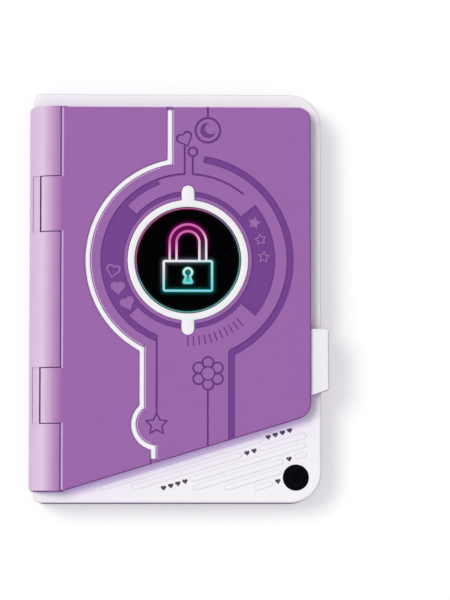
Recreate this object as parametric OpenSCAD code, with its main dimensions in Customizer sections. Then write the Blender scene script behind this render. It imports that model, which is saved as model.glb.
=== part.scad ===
// Electronic secret diary: a book-shaped case with a screen inside and a hinged cover that locks.
// Millimetres. X runs from the spine to the fore edge, Y from foot to head, Z from back to front.

/* [Case] */
// Distance from the spine's outer curve to the fore edge of the front case
case_w = 151.2; // [145:1:160]
// Height of the front case, foot to head
case_h = 212; // [203:1:221]
// Thickness of the case without its cover
case_t = 24.6; // [22.8:0.2:26]
// Height of the rear cover's wall
rear_h = 8; // [7:0.5:9]
// Wall of the rear cover and the front case
case_wall = 2; // [1.6:0.1:2.4]
// Thickness of the front face
face_t = 2.2; // [1.8:0.1:2.6]
// How far the rear cover stands out past the front case
rear_lip = 0.5; // [0.2:0.1:1]
// Corner radius at the fore edge
fore_corner_r = 16; // [12:1:18]
// Corner radius beside the spine
heel_corner_r = 4; // [3:0.5:5]
// Rounding of the case's outer edges
case_edge_r = 1.2; // [0.6:0.1:1.6]
// Distance from the spine's outer curve to the white end blocks
heel_inset = 2.6; // [2:0.1:4]

/* [Spine and cover] */
// Distance from the foot of the case to the spine
foot_margin = 5.7; // [4.8:0.1:7]
// Distance from the head of the case to the spine and the cover
head_margin = 7.3; // [5:0.1:8]
// Distance from the fore edge to the cover
fore_margin = 5.7; // [5:0.1:8]
// Thickness of the cover
lid_t = 8.2; // [7.6:0.1:9]
// Gap between the front face and the closed cover
lid_gap = 0.4; // [0.3:0.1:0.8]
// Slope of the cover's foot edge, in degrees
slant = 17; // [14:0.5:19]
// Corner radius of the cover at the head
lid_head_r = 6.7; // [5:0.1:9]
// Corner radius of the cover at the foot
lid_foot_r = 8.5; // [6:0.5:10]
// Rounding of the cover's front edge
lid_edge_r = 0.9; // [0.5:0.1:1.1]
// Thickness of the cover's front plate
top_t = 2; // [1.8:0.1:2.2]
// Wall of the cover
lid_wall = 2.8; // [2.4:0.1:3.4]
// Thickness of the cover's inner panel
liner_t = 1.4; // [1.2:0.1:1.6]
// Depth of the sunk pattern on the cover
motif_depth = 0.4; // [0.2:0.1:0.6]
// Wall of the spine
spine_wall = 2; // [1.6:0.1:2.6]

/* [Hinge] */
// Depth of the hinge axis below the cover's front and right of the spine's crown
hinge_inset = 5; // [4.6:0.1:5.4]
// Radius of a hinge pin
pin_r = 1.25; // [1:0.05:1.5]
// Radius of the knuckle round a pin
barrel_r = 5.3; // [4.5:0.1:5.5]
// Height of each window that a hinge arm fills
window_l = 29.2; // [24:0.2:34]
// Distance between the middles of the two hinge arms
arm_pitch = 98.9; // [90:0.1:104]
// Depth of the step beside each hinge arm
ledge_depth = 0.4; // [0.3:0.1:0.8]
// Length of pin held in the spine at each end
pin_grip = 7; // [5:0.5:9]

/* [Lock badge] */
// Distance from the spine's outer curve to the lock's centre
lock_x = 82; // [78:0.1:84]
// Distance from the foot to the lock's centre
lock_y = 124.9; // [121:0.1:127]
// Outer radius of the lit ring
ring_r = 31.2; // [30.6:0.1:31.8]
// Width of the lit ring
ring_w = 3.7; // [3.2:0.1:4.2]
// Width of the two prongs of the ring
prong_w = 6.7; // [5.5:0.1:8]
// Reach of the two prongs from the lock's centre
prong_reach = 38.8; // [37:0.1:40]
// Width of the thin glowing ring
halo_w = 1.1; // [0.9:0.1:1.4]
// Width of the light strip
strip_w = 2.9; // [2.4:0.1:3.4]
// Radius of the light strip's large arc
strip_arc_r = 51.7; // [50.8:0.1:52.4]
// Radius of the light strip's small arc
strip_bend_r = 12; // [11:0.1:13]

/* [Thumb tab] */
// How far the tab reaches past the fore edge
tab_out = 3.7; // [1.6:0.1:5]
// Height of the tab along the cover
tab_l = 34.5; // [28:0.5:38]
// Distance from the foot to the tab's upper end
tab_top_y = 89.7; // [85:0.2:93]

/* [Screen] */
// Width of the visible screen, a four inch panel
screen_w = 89; // [84:1:94]
// Height of the visible screen
screen_h = 50; // [46:1:52]
// Distance from the head to the middle of the screen
screen_y = 57; // [55:1:60]
// Border of the screen panel round the visible screen
screen_border = 3; // [2:0.5:4]
// Thickness of the screen panel
lcd_t = 4; // [3:0.2:4.4]

/* [Keys] */
// Distance between neighbouring keys
key_pitch = 19; // [17:0.5:20]
// Radius of a small key
key_r = 5.5; // [4.5:0.1:6]
// Radius of the middle key
ok_r = 7.2; // [6:0.1:8]
// Travel of a key
key_travel = 0.8; // [0.5:0.1:1]
// Clearance round a key in its hole
key_gap = 0.3; // [0.3:0.05:0.4]

/* [Speaker, lens and grille] */
// Distance from the fore edge to the lens
lens_in_x = 13.2; // [12.5:0.1:15]
// Distance from the foot to the lens
lens_in_y = 13.1; // [12:0.1:15]
// Radius of the lens window
lens_r = 6.7; // [6:0.1:7]
// Distance between neighbouring ribs on the front face
rib_pitch = 4.65; // [4.4:0.05:4.8]
// Width of a rib
rib_w = 2.5; // [2:0.1:2.8]
// Height of a rib
rib_h = 0.45; // [0.2:0.05:0.5]
// Distance between neighbouring heart-shaped holes
heart_pitch = 3.85; // [3.6:0.05:4]
// Width of a heart-shaped hole
heart_w = 2.8; // [2:0.1:3]
// Radius of the speaker
speaker_r = 12; // [11:0.5:12.5]

/* [Boards and power] */
// Thickness of a circuit board
board_t = 1.6; // [1.2:0.1:1.6]
// Space between the front face and the boards
board_drop = 4.6; // [4.4:0.1:5]
// Length of the battery
battery_l = 62; // [50:1:68]
// Width of the battery
battery_w = 46; // [36:1:50]
// Thickness of the battery
battery_t = 5.4; // [4:0.2:6]

/* [Lock bolt] */
// Travel of the lock's bolt
bolt_travel = 10; // [9.5:0.1:10.2]
// Width of the lock's bolt
bolt_w = 3.4; // [3:0.1:3.6]
// Thickness of the lock's bolt
bolt_t = 2.6; // [2.2:0.1:2.8]

/* [Hidden] */
$fn = 64;
eps = 0.01;

total_t = case_t + lid_gap + lid_t;
total_w = case_w + tab_out;
foot_y = -rear_lip;
total_h = case_h + 2 * rear_lip;
spine_r = total_t / 2;
lid_z0 = case_t + lid_gap;
top_z0 = total_t - top_t;
face_z = case_t - face_t;
spine_y0 = foot_margin;
spine_y1 = case_h - head_margin;
mid_y = (spine_y0 + spine_y1) / 2;
seat = 0.1;
heel_shy = 0.6;
spine_corner_r = 2.6;

// The hinge axis runs along Y. The cover's spine edge is hollowed on a cylinder round it.
axis_x = spine_r - hinge_inset;
axis_z = total_t - hinge_inset;
relief_r = hinge_inset * sqrt(2) + 0.03;
hinge_gap = 0.35;
lobe_r = relief_r - hinge_gap;
arm_gap = 0.5;
arm_l = window_l - 2 * arm_gap;
barrel_gap = 0.7;
ledge_x = 1.9;
pin_gap = 0.05;
arm_drop = 0.6;
arm_ys = [mid_y - arm_drop - arm_pitch / 2, mid_y - arm_drop + arm_pitch / 2];
pin_l = window_l + 2 * pin_grip;

// The cover's outline, with its sharp corners and their radii
lid_x0 = axis_x + sqrt(relief_r * relief_r - hinge_inset * hinge_inset);
lid_x1 = case_w - fore_margin;
lid_y0 = spine_y0;
lid_y1 = spine_y1;
lid_spine_r = 1.2;
hinge_block = 6;
recess_t = liner_t + seat;
recess_wall = lid_wall - 1.6;
liner_top = lid_z0 + seat + liner_t;
cover_screw_z = liner_top - 0.5;

motif_line = 0.9;
band_w = 3.3;
sector_r = 45;
moat_r0 = ring_r + 1.8;
moat_r1 = moat_r0 + 2.5;
sweep_r0 = 51;
sweep_r1 = 54.5;
sweep_end = 65.5;
stem_x = 22.5;
star_x = -16;
star_y = -84.6;
star_r = 6.4;
strip_x_head = -9.4;
strip_x_mid = -23.7;
strip_x_foot = -17.75;
strip_bridge = 1.9;
notch_depth = 1.4;
strip_drop = 0.8;
badge_z0 = top_z0 - 1.5;
ring_hole_r = ring_r - ring_w;
window_r = ring_hole_r - halo_w - seat;
ledge_w = 3;

screen_cx = (spine_r + case_w) / 2;
screen_cy = case_h - screen_y;
board_z1 = face_z - board_drop;
board_z0 = board_z1 - board_t;
key_flange = 1.2;
key_flange_t = 1.2;
key_bottom = face_z - key_gap - key_flange_t;
switch_top = key_bottom - key_travel - 0.3;
switch_body_t = 1.4;

io_w = 82;
io_h = 21;
io_cy = case_h - case_wall - 2 - io_h / 2;
usb_x = screen_cx - 24;
card_x = screen_cx + 4;
power_x = screen_cx + 29;
usb_w = 9;
usb_h = 3.3;
usb_l = 7.4;
card_w = 11;
card_l = 15;
card_t = 0.9;
card_gap = 0.3;
card_z = board_z1 + 0.6;

lens_x = case_w - lens_in_x;
lens_y = lens_in_y;
lens_seat = 1.4;
rib_first = 4.3;
rib_foot_y = 7.6;
rib_in_x = 7.8;
rib_keepout = 8.4;
rib_rows = 6;
heart_gap = 2.9;
// Each run of hearts: its row, the distance from the fore edge to its first heart, and its count
HEART_RUNS = [[0, 27.5, 4], [1, 38.5, 2], [2, 81.5, 4], [3, 16.7, 1], [5, 22.5, 1]];
speaker_x = case_w - 24;
speaker_y = 31;
mic_x = case_w - 75;

// The catch hangs from the cover, and the bolt slides through its eye
catch_d = 5;
catch_leg = 1.4;
catch_play = 0.5;
catch_w = bolt_w + 2 * catch_leg + 2 * catch_play;
catch_slot_w = catch_w + 2.4;
catch_x = lid_x1 - lid_wall - catch_w / 2 - 0.5;
catch_y = tab_top_y - tab_l / 2;
bolt_z = face_z - 4.25;
bolt_y0 = catch_y + catch_d / 2 + 2;
bolt_l = 9;
rod_r = 1.5;
rod_l = 17;
solenoid_w = 11;
solenoid_l = 17;
solenoid_y0 = bolt_y0 + bolt_l + 3;
guide_t = 2;

board_x0 = spine_r + 14.5;
board_x1 = catch_x - solenoid_w / 2 - 4;
board_y0 = speaker_y + speaker_r + 6;
board_y1 = screen_cy - screen_h / 2 - screen_border - 13;
board_w = board_x1 - board_x0;
board_h = board_y1 - board_y0;
board_cx = (board_x0 + board_x1) / 2;
board_cy = (board_y0 + board_y1) / 2;
keys_y = board_y1 - 27;
battery_x = board_x0 + battery_l / 2 + 6;
battery_y = keys_y;

// Each chip: its place from the middle key, its two sides and its height
CHIPS = [
  [-12, -17, 14, 14, 1.4], [12, -17, 12, 16, 1.2], [30, -15, 6, 8, 1],
  [-32, -15, 8, 6, 2.2], [0, 14, 10, 5, 1.6]
];
led_post_r = 18;

screw_r = 1.1;
screw_head_r = 2.3;
screw_head_t = 1.5;
flat_head_t = 0.8;
screw_bite = 6;
head_depth = 4;
boss_r = 3.2;
boss_wall_x = case_wall + boss_r + 1.5;
CASE_SCREWS = [
  [spine_r + boss_wall_x, boss_wall_x + 1],
  [spine_r + boss_wall_x, mid_y + 12],
  [spine_r + boss_wall_x, case_h - boss_wall_x - 1],
  [case_w - boss_wall_x - 3.4, case_h - boss_wall_x - 3.4],
  [case_w - boss_wall_x, mid_y + 14],
  [case_w - 45, boss_wall_x]
];
BOARD_SCREWS = [
  for (x = [-1, 1]) for (y = [-1, 1])
    [board_cx + x * (board_w / 2 - 4), board_cy + y * (board_h / 2 - 4)]
];
IO_SCREWS = [for (x = [-1, 1]) [screen_cx + x * (io_w / 2 - 4), io_cy - io_h / 2 + 4]];
COVER_SCREWS = [
  [lid_x0 + 14, lid_y0 + 14],
  [lid_x0 + 14, lid_y1 - 10],
  [lid_x1 - 10, lid_y1 - 10],
  [lid_x1 - 10, lid_y0 + 52]
];
SPINE_SCREW_YS = [mid_y - 76, mid_y, mid_y + 76];
spine_screw_z = axis_z - lobe_r - 3;

function foot_edge(x, off = 0) = lid_y0 + tan(slant) * (x - lid_x0) - off / cos(slant);
function unit(v) = v / norm(v);
function inward(p, q) = let (d = unit(q - p)) [-d[1], d[0]];
function turn(a, b) = a + ((b - a) % 360 + 360) % 360;

// Points of a convex outline whose corners are rounded, drawn in from its edges by inset
function outline(corners, radii, inset = 0, steps = 10) = [
  for (i = [0 : len(corners) - 1])
    let (
      n = len(corners),
      before = inward(corners[(i + n - 1) % n], corners[i]),
      after = inward(corners[i], corners[(i + 1) % n]),
      centre = corners[i] + (before + after) * radii[i] / (1 + before * after),
      r = max(radii[i] - inset, 0.05),
      a0 = atan2(-before[1], -before[0]),
      a1 = turn(a0, atan2(-after[1], -after[0]))
    )
    for (k = [0 : steps])
      centre + r * [cos(a0 + (a1 - a0) * k / steps), sin(a0 + (a1 - a0) * k / steps)]
];

function box_corners(x0, y0, x1, y1) = [[x0, y0], [x1, y0], [x1, y1], [x0, y1]];

CASE_CORNERS = box_corners(heel_inset, 0, case_w, case_h);
CASE_RADII = [heel_corner_r, fore_corner_r, fore_corner_r, heel_corner_r];
REAR_CORNERS = box_corners(heel_inset + heel_shy, -rear_lip, case_w + rear_lip, case_h + rear_lip);
REAR_RADII = [heel_corner_r, fore_corner_r, fore_corner_r, heel_corner_r] + rear_lip * [1, 1, 1, 1];
SPINE_CORNERS = box_corners(0, spine_y0, 2 * spine_r, spine_y1);
SPINE_RADII = [spine_corner_r, 0.1, 0.1, spine_corner_r];
CAVITY_CORNERS = box_corners(spine_r + case_wall, case_wall, case_w - case_wall, case_h - case_wall);
CAVITY_RADII = [2, fore_corner_r - case_wall, fore_corner_r - case_wall, 2];
LID_CORNERS = [[lid_x0, lid_y0], [lid_x1, foot_edge(lid_x1)], [lid_x1, lid_y1], [lid_x0, lid_y1]];
LID_RADII = [lid_spine_r, lid_foot_r, lid_head_r, lid_spine_r];
LID_POCKET = [
  [lid_x0 + hinge_block - lid_wall, lid_y0 + tan(slant) * (hinge_block - lid_wall)],
  LID_CORNERS[1], LID_CORNERS[2], [lid_x0 + hinge_block - lid_wall, lid_y1]
];
LID_POCKET_RADII = [lid_wall + 1, lid_foot_r, lid_head_r, lid_wall + 1];

// The whole model stands on its back, with the middle of its box over the origin
module place() {
  translate([-total_w / 2, -foot_y - total_h / 2, 0]) children();
}

// A plate with a rounded front edge, or a rounded back edge when it faces down
module soft_plate(corners, radii, h, edge, face_down = false) {
  steps = 4;
  translate([0, 0, face_down ? h : 0])
    mirror([0, 0, face_down ? 1 : 0])
      hull() {
        for (k = [0 : steps]) {
          a = 90 * k / steps;
          linear_extrude(h - edge + edge * sin(a))
            polygon(outline(corners, radii, edge * (1 - cos(a))));
        }
      }
}

module prism(corners, radii, inset, z0, z1) {
  translate([0, 0, z0]) linear_extrude(z1 - z0) polygon(outline(corners, radii, inset));
}

// Runs a flat profile drawn in X and Z along the spine
module along_spine(y0, y1) {
  translate([0, y1, 0]) rotate([90, 0, 0]) linear_extrude(y1 - y0) children();
}

module post(x, y, r, z0, z1) {
  translate([x, y, z0]) cylinder(r = r, h = z1 - z0);
}

module block(x0, y0, z0, x1, y1, z1) {
  translate([x0, y0, z0]) cube([x1 - x0, y1 - y0, z1 - z0]);
}

module block_at(cx, cy, w, h, z0, z1) {
  block(cx - w / 2, cy - h / 2, z0, cx + w / 2, cy + h / 2, z1);
}

module rounded_rect(w, h, r) {
  square([w - 2 * r, h], center = true);
  square([w, h - 2 * r], center = true);
  for (x = [-1, 1]) for (y = [-1, 1]) translate([x * (w / 2 - r), y * (h / 2 - r)]) circle(r = r);
}

module screw_cross(z0, z1) {
  block_at(0, 0, 2.6, 0.6, z0, z1);
  block_at(0, 0, 0.6, 2.6, z0, z1);
}

// A screw whose head faces down, with its thread going up
module screw_up(x, y, z, l, t = screw_head_t) {
  difference() {
    union() {
      post(x, y, screw_head_r, z - t, z);
      post(x, y, screw_r, z - eps, z + l);
    }
    translate([x, y, 0]) screw_cross(z - t - eps, z - 0.4 * t);
  }
}

// Flat pattern shapes

module wedge(a0, a1, r) {
  steps = ceil((a1 - a0) / 30);
  polygon(concat([[0, 0]], [
    for (k = [0 : steps]) let (a = a0 + (a1 - a0) * k / steps) 1.3 * r * [cos(a), sin(a)]
  ]));
}

module arc_band(r0, r1, a0, a1) {
  intersection() {
    difference() {
      circle(r = r1, $fn = 128);
      circle(r = r0, $fn = 128);
    }
    wedge(a0, a1, r1);
  }
}

module bar(x0, y0, x1, y1, w) {
  d = [x1 - x0, y1 - y0];
  translate([x0, y0]) rotate(atan2(d[1], d[0])) translate([0, -w / 2]) square([norm(d), w]);
}

module heart_shape(w) {
  r = w / 4 * 1.08;
  c = w / 2 - r;
  for (s = [-1, 1]) translate([s * c, 0]) circle(r = r, $fn = 24);
  a = 42;
  q = 0.96 * r;
  polygon([
    [-c - q * cos(a), -q * sin(a)],
    [0, -(c + q / cos(a)) * tan(90 - a)],
    [c + q * cos(a), -q * sin(a)],
    [c, r * 0.3],
    [-c, r * 0.3]
  ]);
}

module heart_ring(w, line) {
  difference() {
    heart_shape(w);
    translate([0, -0.04 * w]) heart_shape(w - 2 * line);
  }
}

module star_shape(r) {
  inner = 0.5 * r;
  polygon([
    for (k = [0 : 9]) let (a = 90 + 36 * k, q = k % 2 == 0 ? r : inner) q * [cos(a), sin(a)]
  ]);
}

module star_ring(r, line) {
  difference() {
    star_shape(r);
    star_shape(r - 2 * line);
  }
}

module ring_shape(r, line) {
  difference() {
    circle(r = r);
    circle(r = r - line);
  }
}

module flower_shape(reach, line) {
  petal_r = 0.36 * reach;
  difference() {
    for (k = [0 : 5]) rotate(60 * k + 30) translate([reach - petal_r, 0]) circle(r = petal_r, $fn = 32);
    for (k = [0 : 5]) rotate(60 * k + 30) translate([reach - petal_r, 0])
      circle(r = petal_r - line, $fn = 32);
    circle(r = reach * 0.4);
  }
  ring_shape(reach * 0.42, line * 0.7);
}

// The ring with its two prongs, grown by extra on every side
module badge_ring(extra) {
  circle(r = ring_r + extra, $fn = 128);
  square([prong_w + 2 * extra, 2 * (prong_reach - prong_w / 2)], center = true);
  for (s = [-1, 1])
    translate([0, s * (prong_reach - prong_w / 2)]) circle(r = prong_w / 2 + extra, $fn = 48);
}

// The light strip's path, drawn about the lock's centre
module strip_shape(w, head_y, foot_y_local) {
  a_head = acos(strip_x_head / strip_arc_r);
  a_mid = 360 - acos(strip_x_mid / strip_arc_r);
  b_mid = acos((strip_x_mid - star_x) / strip_bend_r);
  b_foot = 360 - acos((strip_x_foot - star_x) / strip_bend_r);
  arc_band(strip_arc_r - w / 2, strip_arc_r + w / 2, a_head, a_mid);
  bar(strip_x_head, strip_arc_r * sin(a_head) - w / 2, strip_x_head, head_y, w);
  bar(strip_x_mid, strip_arc_r * sin(a_mid) + w / 2, strip_x_mid,
    star_y + strip_bend_r * sin(b_mid) - w / 2, w);
  translate([star_x, star_y]) arc_band(strip_bend_r - w / 2, strip_bend_r + w / 2, b_mid, b_foot);
  bar(strip_x_foot, star_y + strip_bend_r * sin(b_foot) + w / 2, strip_x_foot, foot_y_local, w);
}

strip_head_y = lid_y1 - strip_bridge - lock_y;
strip_foot_y = foot_edge(lock_x + strip_x_foot) + 1.2 * strip_bridge - lock_y;
flange_head_y = lid_y1 - lid_wall - seat - lock_y;
flange_foot_y = foot_edge(lock_x + strip_x_foot + strip_w / 2 + 1, -lid_wall - seat) - lock_y;

// The slot runs out through the cover's rim beyond each end of the light strip
module strip_notches() {
  bar(strip_x_head, strip_head_y - eps, strip_x_head, lid_y1 + 1 - lock_y, strip_w + 0.1);
  foot = foot_edge(lock_x + strip_x_foot) - 2 - lock_y;
  bar(strip_x_foot, strip_foot_y + eps, strip_x_foot, foot, strip_w + 0.1);
}

module crescent(r) {
  difference() {
    circle(r = r);
    translate([0.4 * r, 0.25 * r]) circle(r = 0.8 * r);
  }
}

// Everything that is sunk into the cover's front, drawn about the lock's centre
module cover_pattern() {
  head = lid_y1 - lock_y + 1;
  difference() {
    union() {
      ring_band(moat_r0, moat_r1);
      arc_band(moat_r1 - 1, sector_r, -39.5, 39.5);
      arc_band(moat_r1 - 1, sector_r, 138, 223.5);
    }
    translate([34.2, 19.3]) rotate(-12) star_shape(3.3);
    translate([37.5, 10.7]) rotate(10) star_ring(3.3, 0.45);
    translate([39.2, 1.6]) rotate(-6) star_ring(3.3, 0.45);
    translate([-38.3, -4.6]) rotate(-12) heart_ring(7.2, 0.6);
    translate([-36.1, -13.4]) rotate(4) heart_shape(7);
    translate([-31.4, -21.5]) rotate(22) heart_shape(7);
  }
  arc_band(sector_r - band_w, sector_r, 110.3, 138.5);
  arc_band(sector_r - band_w, sector_r, 223, 248.2);
  arc_band(sector_r - motif_line, sector_r, 92.7, 111);
  arc_band(sector_r - motif_line, sector_r, 50, 86.3);
  bar(-1.7, sector_r - motif_line, -1.7, 60, motif_line);
  translate([-2.1, 63.8]) rotate(25) heart_ring(8.6, motif_line);
  bar(2.5, sector_r - motif_line, 2.5, 54, motif_line);
  translate([2.5, 56.1]) ring_shape(2.7, motif_line);
  bar(star_x, -38.6, star_x, star_y + star_r - 0.6, motif_line);
  translate([star_x, star_y]) star_ring(star_r, motif_line * 0.8);
  arc_band(sweep_r0, sweep_r1, -sweep_end, 81);
  bar(stem_x, -sweep_r0 * sin(sweep_end) - 0.6, stem_x, foot_edge(lock_x + stem_x) - lock_y - 4, 3.3);
  translate([10.4, -58.4]) flower_shape(8.8, motif_line * 0.85);
  bar(10.3, -66.6, 10.3, foot_edge(lock_x + 10.3) - lock_y - 2, motif_line * 0.8);
  for (k = [0 : 10]) rotate(-90 + 4 * k) bar(39.4, 0, 44.3, 0, 0.6);
  translate([10.3, 67.3]) {
    ring_shape(6.8, motif_line);
    crescent(3.9);
  }
  bar(10.3, 73.6, 10.3, head, motif_line);
}

module ring_band(r0, r1) {
  difference() {
    circle(r = r1, $fn = 128);
    circle(r = r0, $fn = 128);
  }
}

module at_lock(z0, z1) {
  translate([lock_x, lock_y, z0]) linear_extrude(z1 - z0) children();
}

// Spine and hinge

module spine_circle(r) {
  translate([spine_r, spine_r]) circle(r = r, $fn = 128);
}

module spine_profile() {
  intersection() {
    spine_circle(spine_r);
    union() {
      square([spine_r, case_t]);
      square([axis_x, total_t]);
      intersection() {
        translate([axis_x, axis_z]) circle(r = lobe_r);
        translate([0, case_t]) square([2 * spine_r, total_t]);
      }
    }
  }
}

module spine_hollow() {
  intersection() {
    spine_circle(spine_r - spine_wall);
    square([spine_r + 1, spine_screw_z - 3]);
  }
}

module window_profile() {
  translate([axis_x, axis_z]) circle(r = barrel_r + barrel_gap);
  translate([axis_x, case_t]) square([spine_r, total_t]);
  difference() {
    translate([ledge_x, spine_r]) square([axis_x - ledge_x, spine_r]);
    spine_circle(spine_r - ledge_depth);
  }
}

module arm_profile() {
  reach = hinge_block + lid_x0 - spine_r;
  intersection() {
    union() {
      translate([axis_x, axis_z]) circle(r = barrel_r);
      translate([axis_x, lid_z0]) square([spine_r - axis_x + reach, lid_t]);
    }
    union() {
      spine_circle(spine_r);
      translate([spine_r, lid_z0]) square([reach, lid_t]);
    }
  }
}

module hinge_bore(y0, y1, r) {
  translate([axis_x, y0, axis_z]) rotate([-90, 0, 0]) cylinder(r = r, h = y1 - y0);
}

module hinge_pin(y) {
  color("silver") hinge_bore(y - pin_l / 2, y + pin_l / 2, pin_r);
}

module spine_cover() {
  color("plum") difference() {
    intersection() {
      along_spine(spine_y0, spine_y1) spine_profile();
      prism(SPINE_CORNERS, SPINE_RADII, 0, 0, total_t);
    }
    along_spine(spine_y0 + spine_wall, spine_y1 - spine_wall) spine_hollow();
    for (y = arm_ys) {
      along_spine(y - window_l / 2, y + window_l / 2) window_profile();
      hinge_bore(y - pin_l / 2 - seat, y + pin_l / 2 + seat, pin_r + 0.02);
    }
    for (y = SPINE_SCREW_YS)
      translate([spine_r - screw_bite - 1, y, spine_screw_z]) rotate([0, 90, 0])
        cylinder(r = screw_r + 0.02, h = screw_bite + 2);
  }
}

module spine_screws() {
  color("silver") for (y = SPINE_SCREW_YS)
    translate([spine_r + case_wall, y, spine_screw_z]) rotate([0, -90, 0])
      screw_up(0, 0, 0, case_wall + screw_bite);
}

// Case

module notch(z0, z1, gap) {
  block(-1, spine_y0 - gap, z0 - 1, spine_r, spine_y1 + gap, z1 + 1);
}

module rear_cover() {
  lip_h = 1.6;
  color("mediumorchid") difference() {
    union() {
      difference() {
        soft_plate(REAR_CORNERS, REAR_RADII, rear_h, case_edge_r, true);
        prism(CAVITY_CORNERS, CAVITY_RADII, 0, case_wall, rear_h + 1);
      }
      difference() {
        prism(CAVITY_CORNERS, CAVITY_RADII, seat, case_wall - eps, rear_h + lip_h);
        prism(CAVITY_CORNERS, CAVITY_RADII, seat + 1, case_wall - 1, rear_h + lip_h + 1);
      }
      for (p = CASE_SCREWS) post(p[0], p[1], boss_r + 0.6, case_wall - eps, rear_h);
      battery_fence();
    }
    notch(0, rear_h, seat);
    for (p = CASE_SCREWS) {
      post(p[0], p[1], screw_head_r + 0.3, -1, head_depth);
      post(p[0], p[1], screw_r + 0.2, head_depth - 1, rear_h + 1);
    }
  }
}

module battery_fence() {
  for (s = [-1, 1]) {
    block_at(battery_x + s * (battery_l / 2 + 1), battery_y, 1.4, battery_w * 0.8, case_wall - eps, case_wall + 4);
    block_at(battery_x, battery_y + s * (battery_w / 2 + 1), battery_l * 0.8, 1.4, case_wall - eps, case_wall + 4);
  }
}

function row_off(k) = rib_first + k * rib_pitch;
function row_y(k, x) = foot_edge(x, row_off(k));
function row_x(k, y) = lid_x0 + (y - lid_y0 + row_off(k) / cos(slant)) / tan(slant);
// Distance from the lens to a row, and where the row enters the clear ring round the lens
function lens_off(k) = (row_y(k, lens_x) - lens_y) * cos(slant);
function row_end(k) = abs(lens_off(k)) < rib_keepout
  ? lens_x - lens_off(k) * sin(slant) - sqrt(pow(rib_keepout, 2) - pow(lens_off(k), 2)) * cos(slant)
  : case_w - rib_in_x;
function run_of(k) = [for (h = HEART_RUNS) if (h[0] == k) h];
function run_x0(h) = case_w - h[1];
function run_x1(h) = case_w - h[1] + heart_pitch * cos(slant) * (h[2] - 1);

// A rib from one end of a row to the other, with round ends
module rib(k, x0, x1) {
  if (x1 - x0 > rib_w * 1.5) {
    bar(x0 + rib_w / 2, row_y(k, x0 + rib_w / 2), x1 - rib_w / 2, row_y(k, x1 - rib_w / 2), rib_w);
    for (x = [x0 + rib_w / 2, x1 - rib_w / 2])
      translate([x, row_y(k, x)]) circle(r = rib_w / 2 - 0.03, $fn = 24);
  }
}

module ribs() {
  for (k = [0 : rib_rows - 1]) {
    x0 = row_x(k, rib_foot_y);
    x1 = row_end(k);
    runs = run_of(k);
    if (len(runs) == 0) {
      rib(k, x0, x1);
    } else {
      rib(k, x0, run_x0(runs[0]) - heart_gap);
      if (k > 0) rib(k, run_x1(runs[0]) + heart_gap, x1);
    }
  }
}

module heart_holes() {
  for (h = HEART_RUNS) for (i = [0 : h[2] - 1]) {
    x = run_x0(h) + i * heart_pitch * cos(slant);
    translate([x, row_y(h[0], x) + heart_w * 0.14]) rotate(10) heart_shape(heart_w);
  }
}

module usb_hole(extra) {
  rounded_rect(usb_w + 2 * extra, usb_h + 2 * extra, usb_h / 2 - 0.5);
}

// Cuts through the head wall, drawn in X and Z
module head_cut(y0, x, z) {
  translate([x, case_h + 1, z]) rotate([90, 0, 0]) linear_extrude(case_h + 1 - y0) children();
}

module front_case() {
  color("white") difference() {
    union() {
      difference() {
        translate([0, 0, rear_h])
          soft_plate(CASE_CORNERS, CASE_RADII, case_t - rear_h, case_edge_r);
        prism(CAVITY_CORNERS, CAVITY_RADII, 0, rear_h - 1, face_z);
      }
      translate([0, 0, case_t - eps]) linear_extrude(rib_h + eps) ribs();
      for (p = CASE_SCREWS) post(p[0], p[1], boss_r, rear_h, face_z + eps);
      for (p = concat(BOARD_SCREWS, IO_SCREWS)) post(p[0], p[1], 2.4, board_z1, face_z + eps);
      bolt_guides();
    }
    notch(rear_h, case_t, seat);
    translate([0, 0, face_z - 1]) linear_extrude(face_t + 2) heart_holes();
    post(lens_x, lens_y, lens_r + seat, case_t - lens_seat, case_t + 1);
    post(lens_x, lens_y, lens_r - 1.2, face_z - 1, case_t);
    translate([screen_cx, screen_cy, case_t - 1.2]) linear_extrude(2)
      rounded_rect(screen_w + 2 * screen_border, screen_h + 2 * screen_border, 2.5);
    block_at(screen_cx, screen_cy, screen_w, screen_h, face_z - 1, case_t);
    for (k = [-2 : 2]) post(key_x(k), keys_y, key_size(k) + key_gap, face_z - 1, case_t + 1);
    block_at(catch_x, catch_y, catch_slot_w, catch_d + 2 * catch_play, face_z - 1, case_t + 1);
    head_cut(case_h - case_wall - 1, usb_x, board_z1 + usb_h / 2) usb_hole(0.2);
    head_cut(case_h - case_wall - 1, card_x, card_z + card_t / 2)
      square([card_w + 2 * card_gap, card_t + 2 * card_gap], center = true);
    head_cut(case_h - case_wall - 1, power_x, power_z)
      rounded_rect(power_w + 2 * key_gap, power_t + 2 * key_gap, 1.4);
    for (p = CASE_SCREWS) post(p[0], p[1], screw_r + 0.02, rear_h - 1, face_z - 3);
    for (p = concat(BOARD_SCREWS, IO_SCREWS)) post(p[0], p[1], screw_r + 0.02, board_z1 - 1, face_z - 0.4);
    for (y = SPINE_SCREW_YS)
      translate([spine_r - 1, y, spine_screw_z]) rotate([0, 90, 0]) cylinder(r = screw_r + 0.2, h = case_wall + 2);
  }
}

// Two walls under the front face that guide the bolt on each side of the catch
module bolt_guides() {
  for (y = [bolt_y0, bolt_y0 - bolt_travel - guide_t + 0.8]) difference() {
    block(catch_x - solenoid_w / 2, y, bolt_z - bolt_t / 2 - 1.6, catch_x + solenoid_w / 2, y + guide_t, face_z + eps);
    block_at(catch_x, y, bolt_w + 0.6, 3 * guide_t, bolt_z - bolt_t / 2 - 0.3, bolt_z + bolt_t / 2 + 0.3);
  }
}

module screen_window() {
  color("black") translate([screen_cx, screen_cy, case_t - 1.2]) linear_extrude(1)
    rounded_rect(screen_w + 2 * screen_border - 0.2, screen_h + 2 * screen_border - 0.2, 2.4);
}

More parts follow.
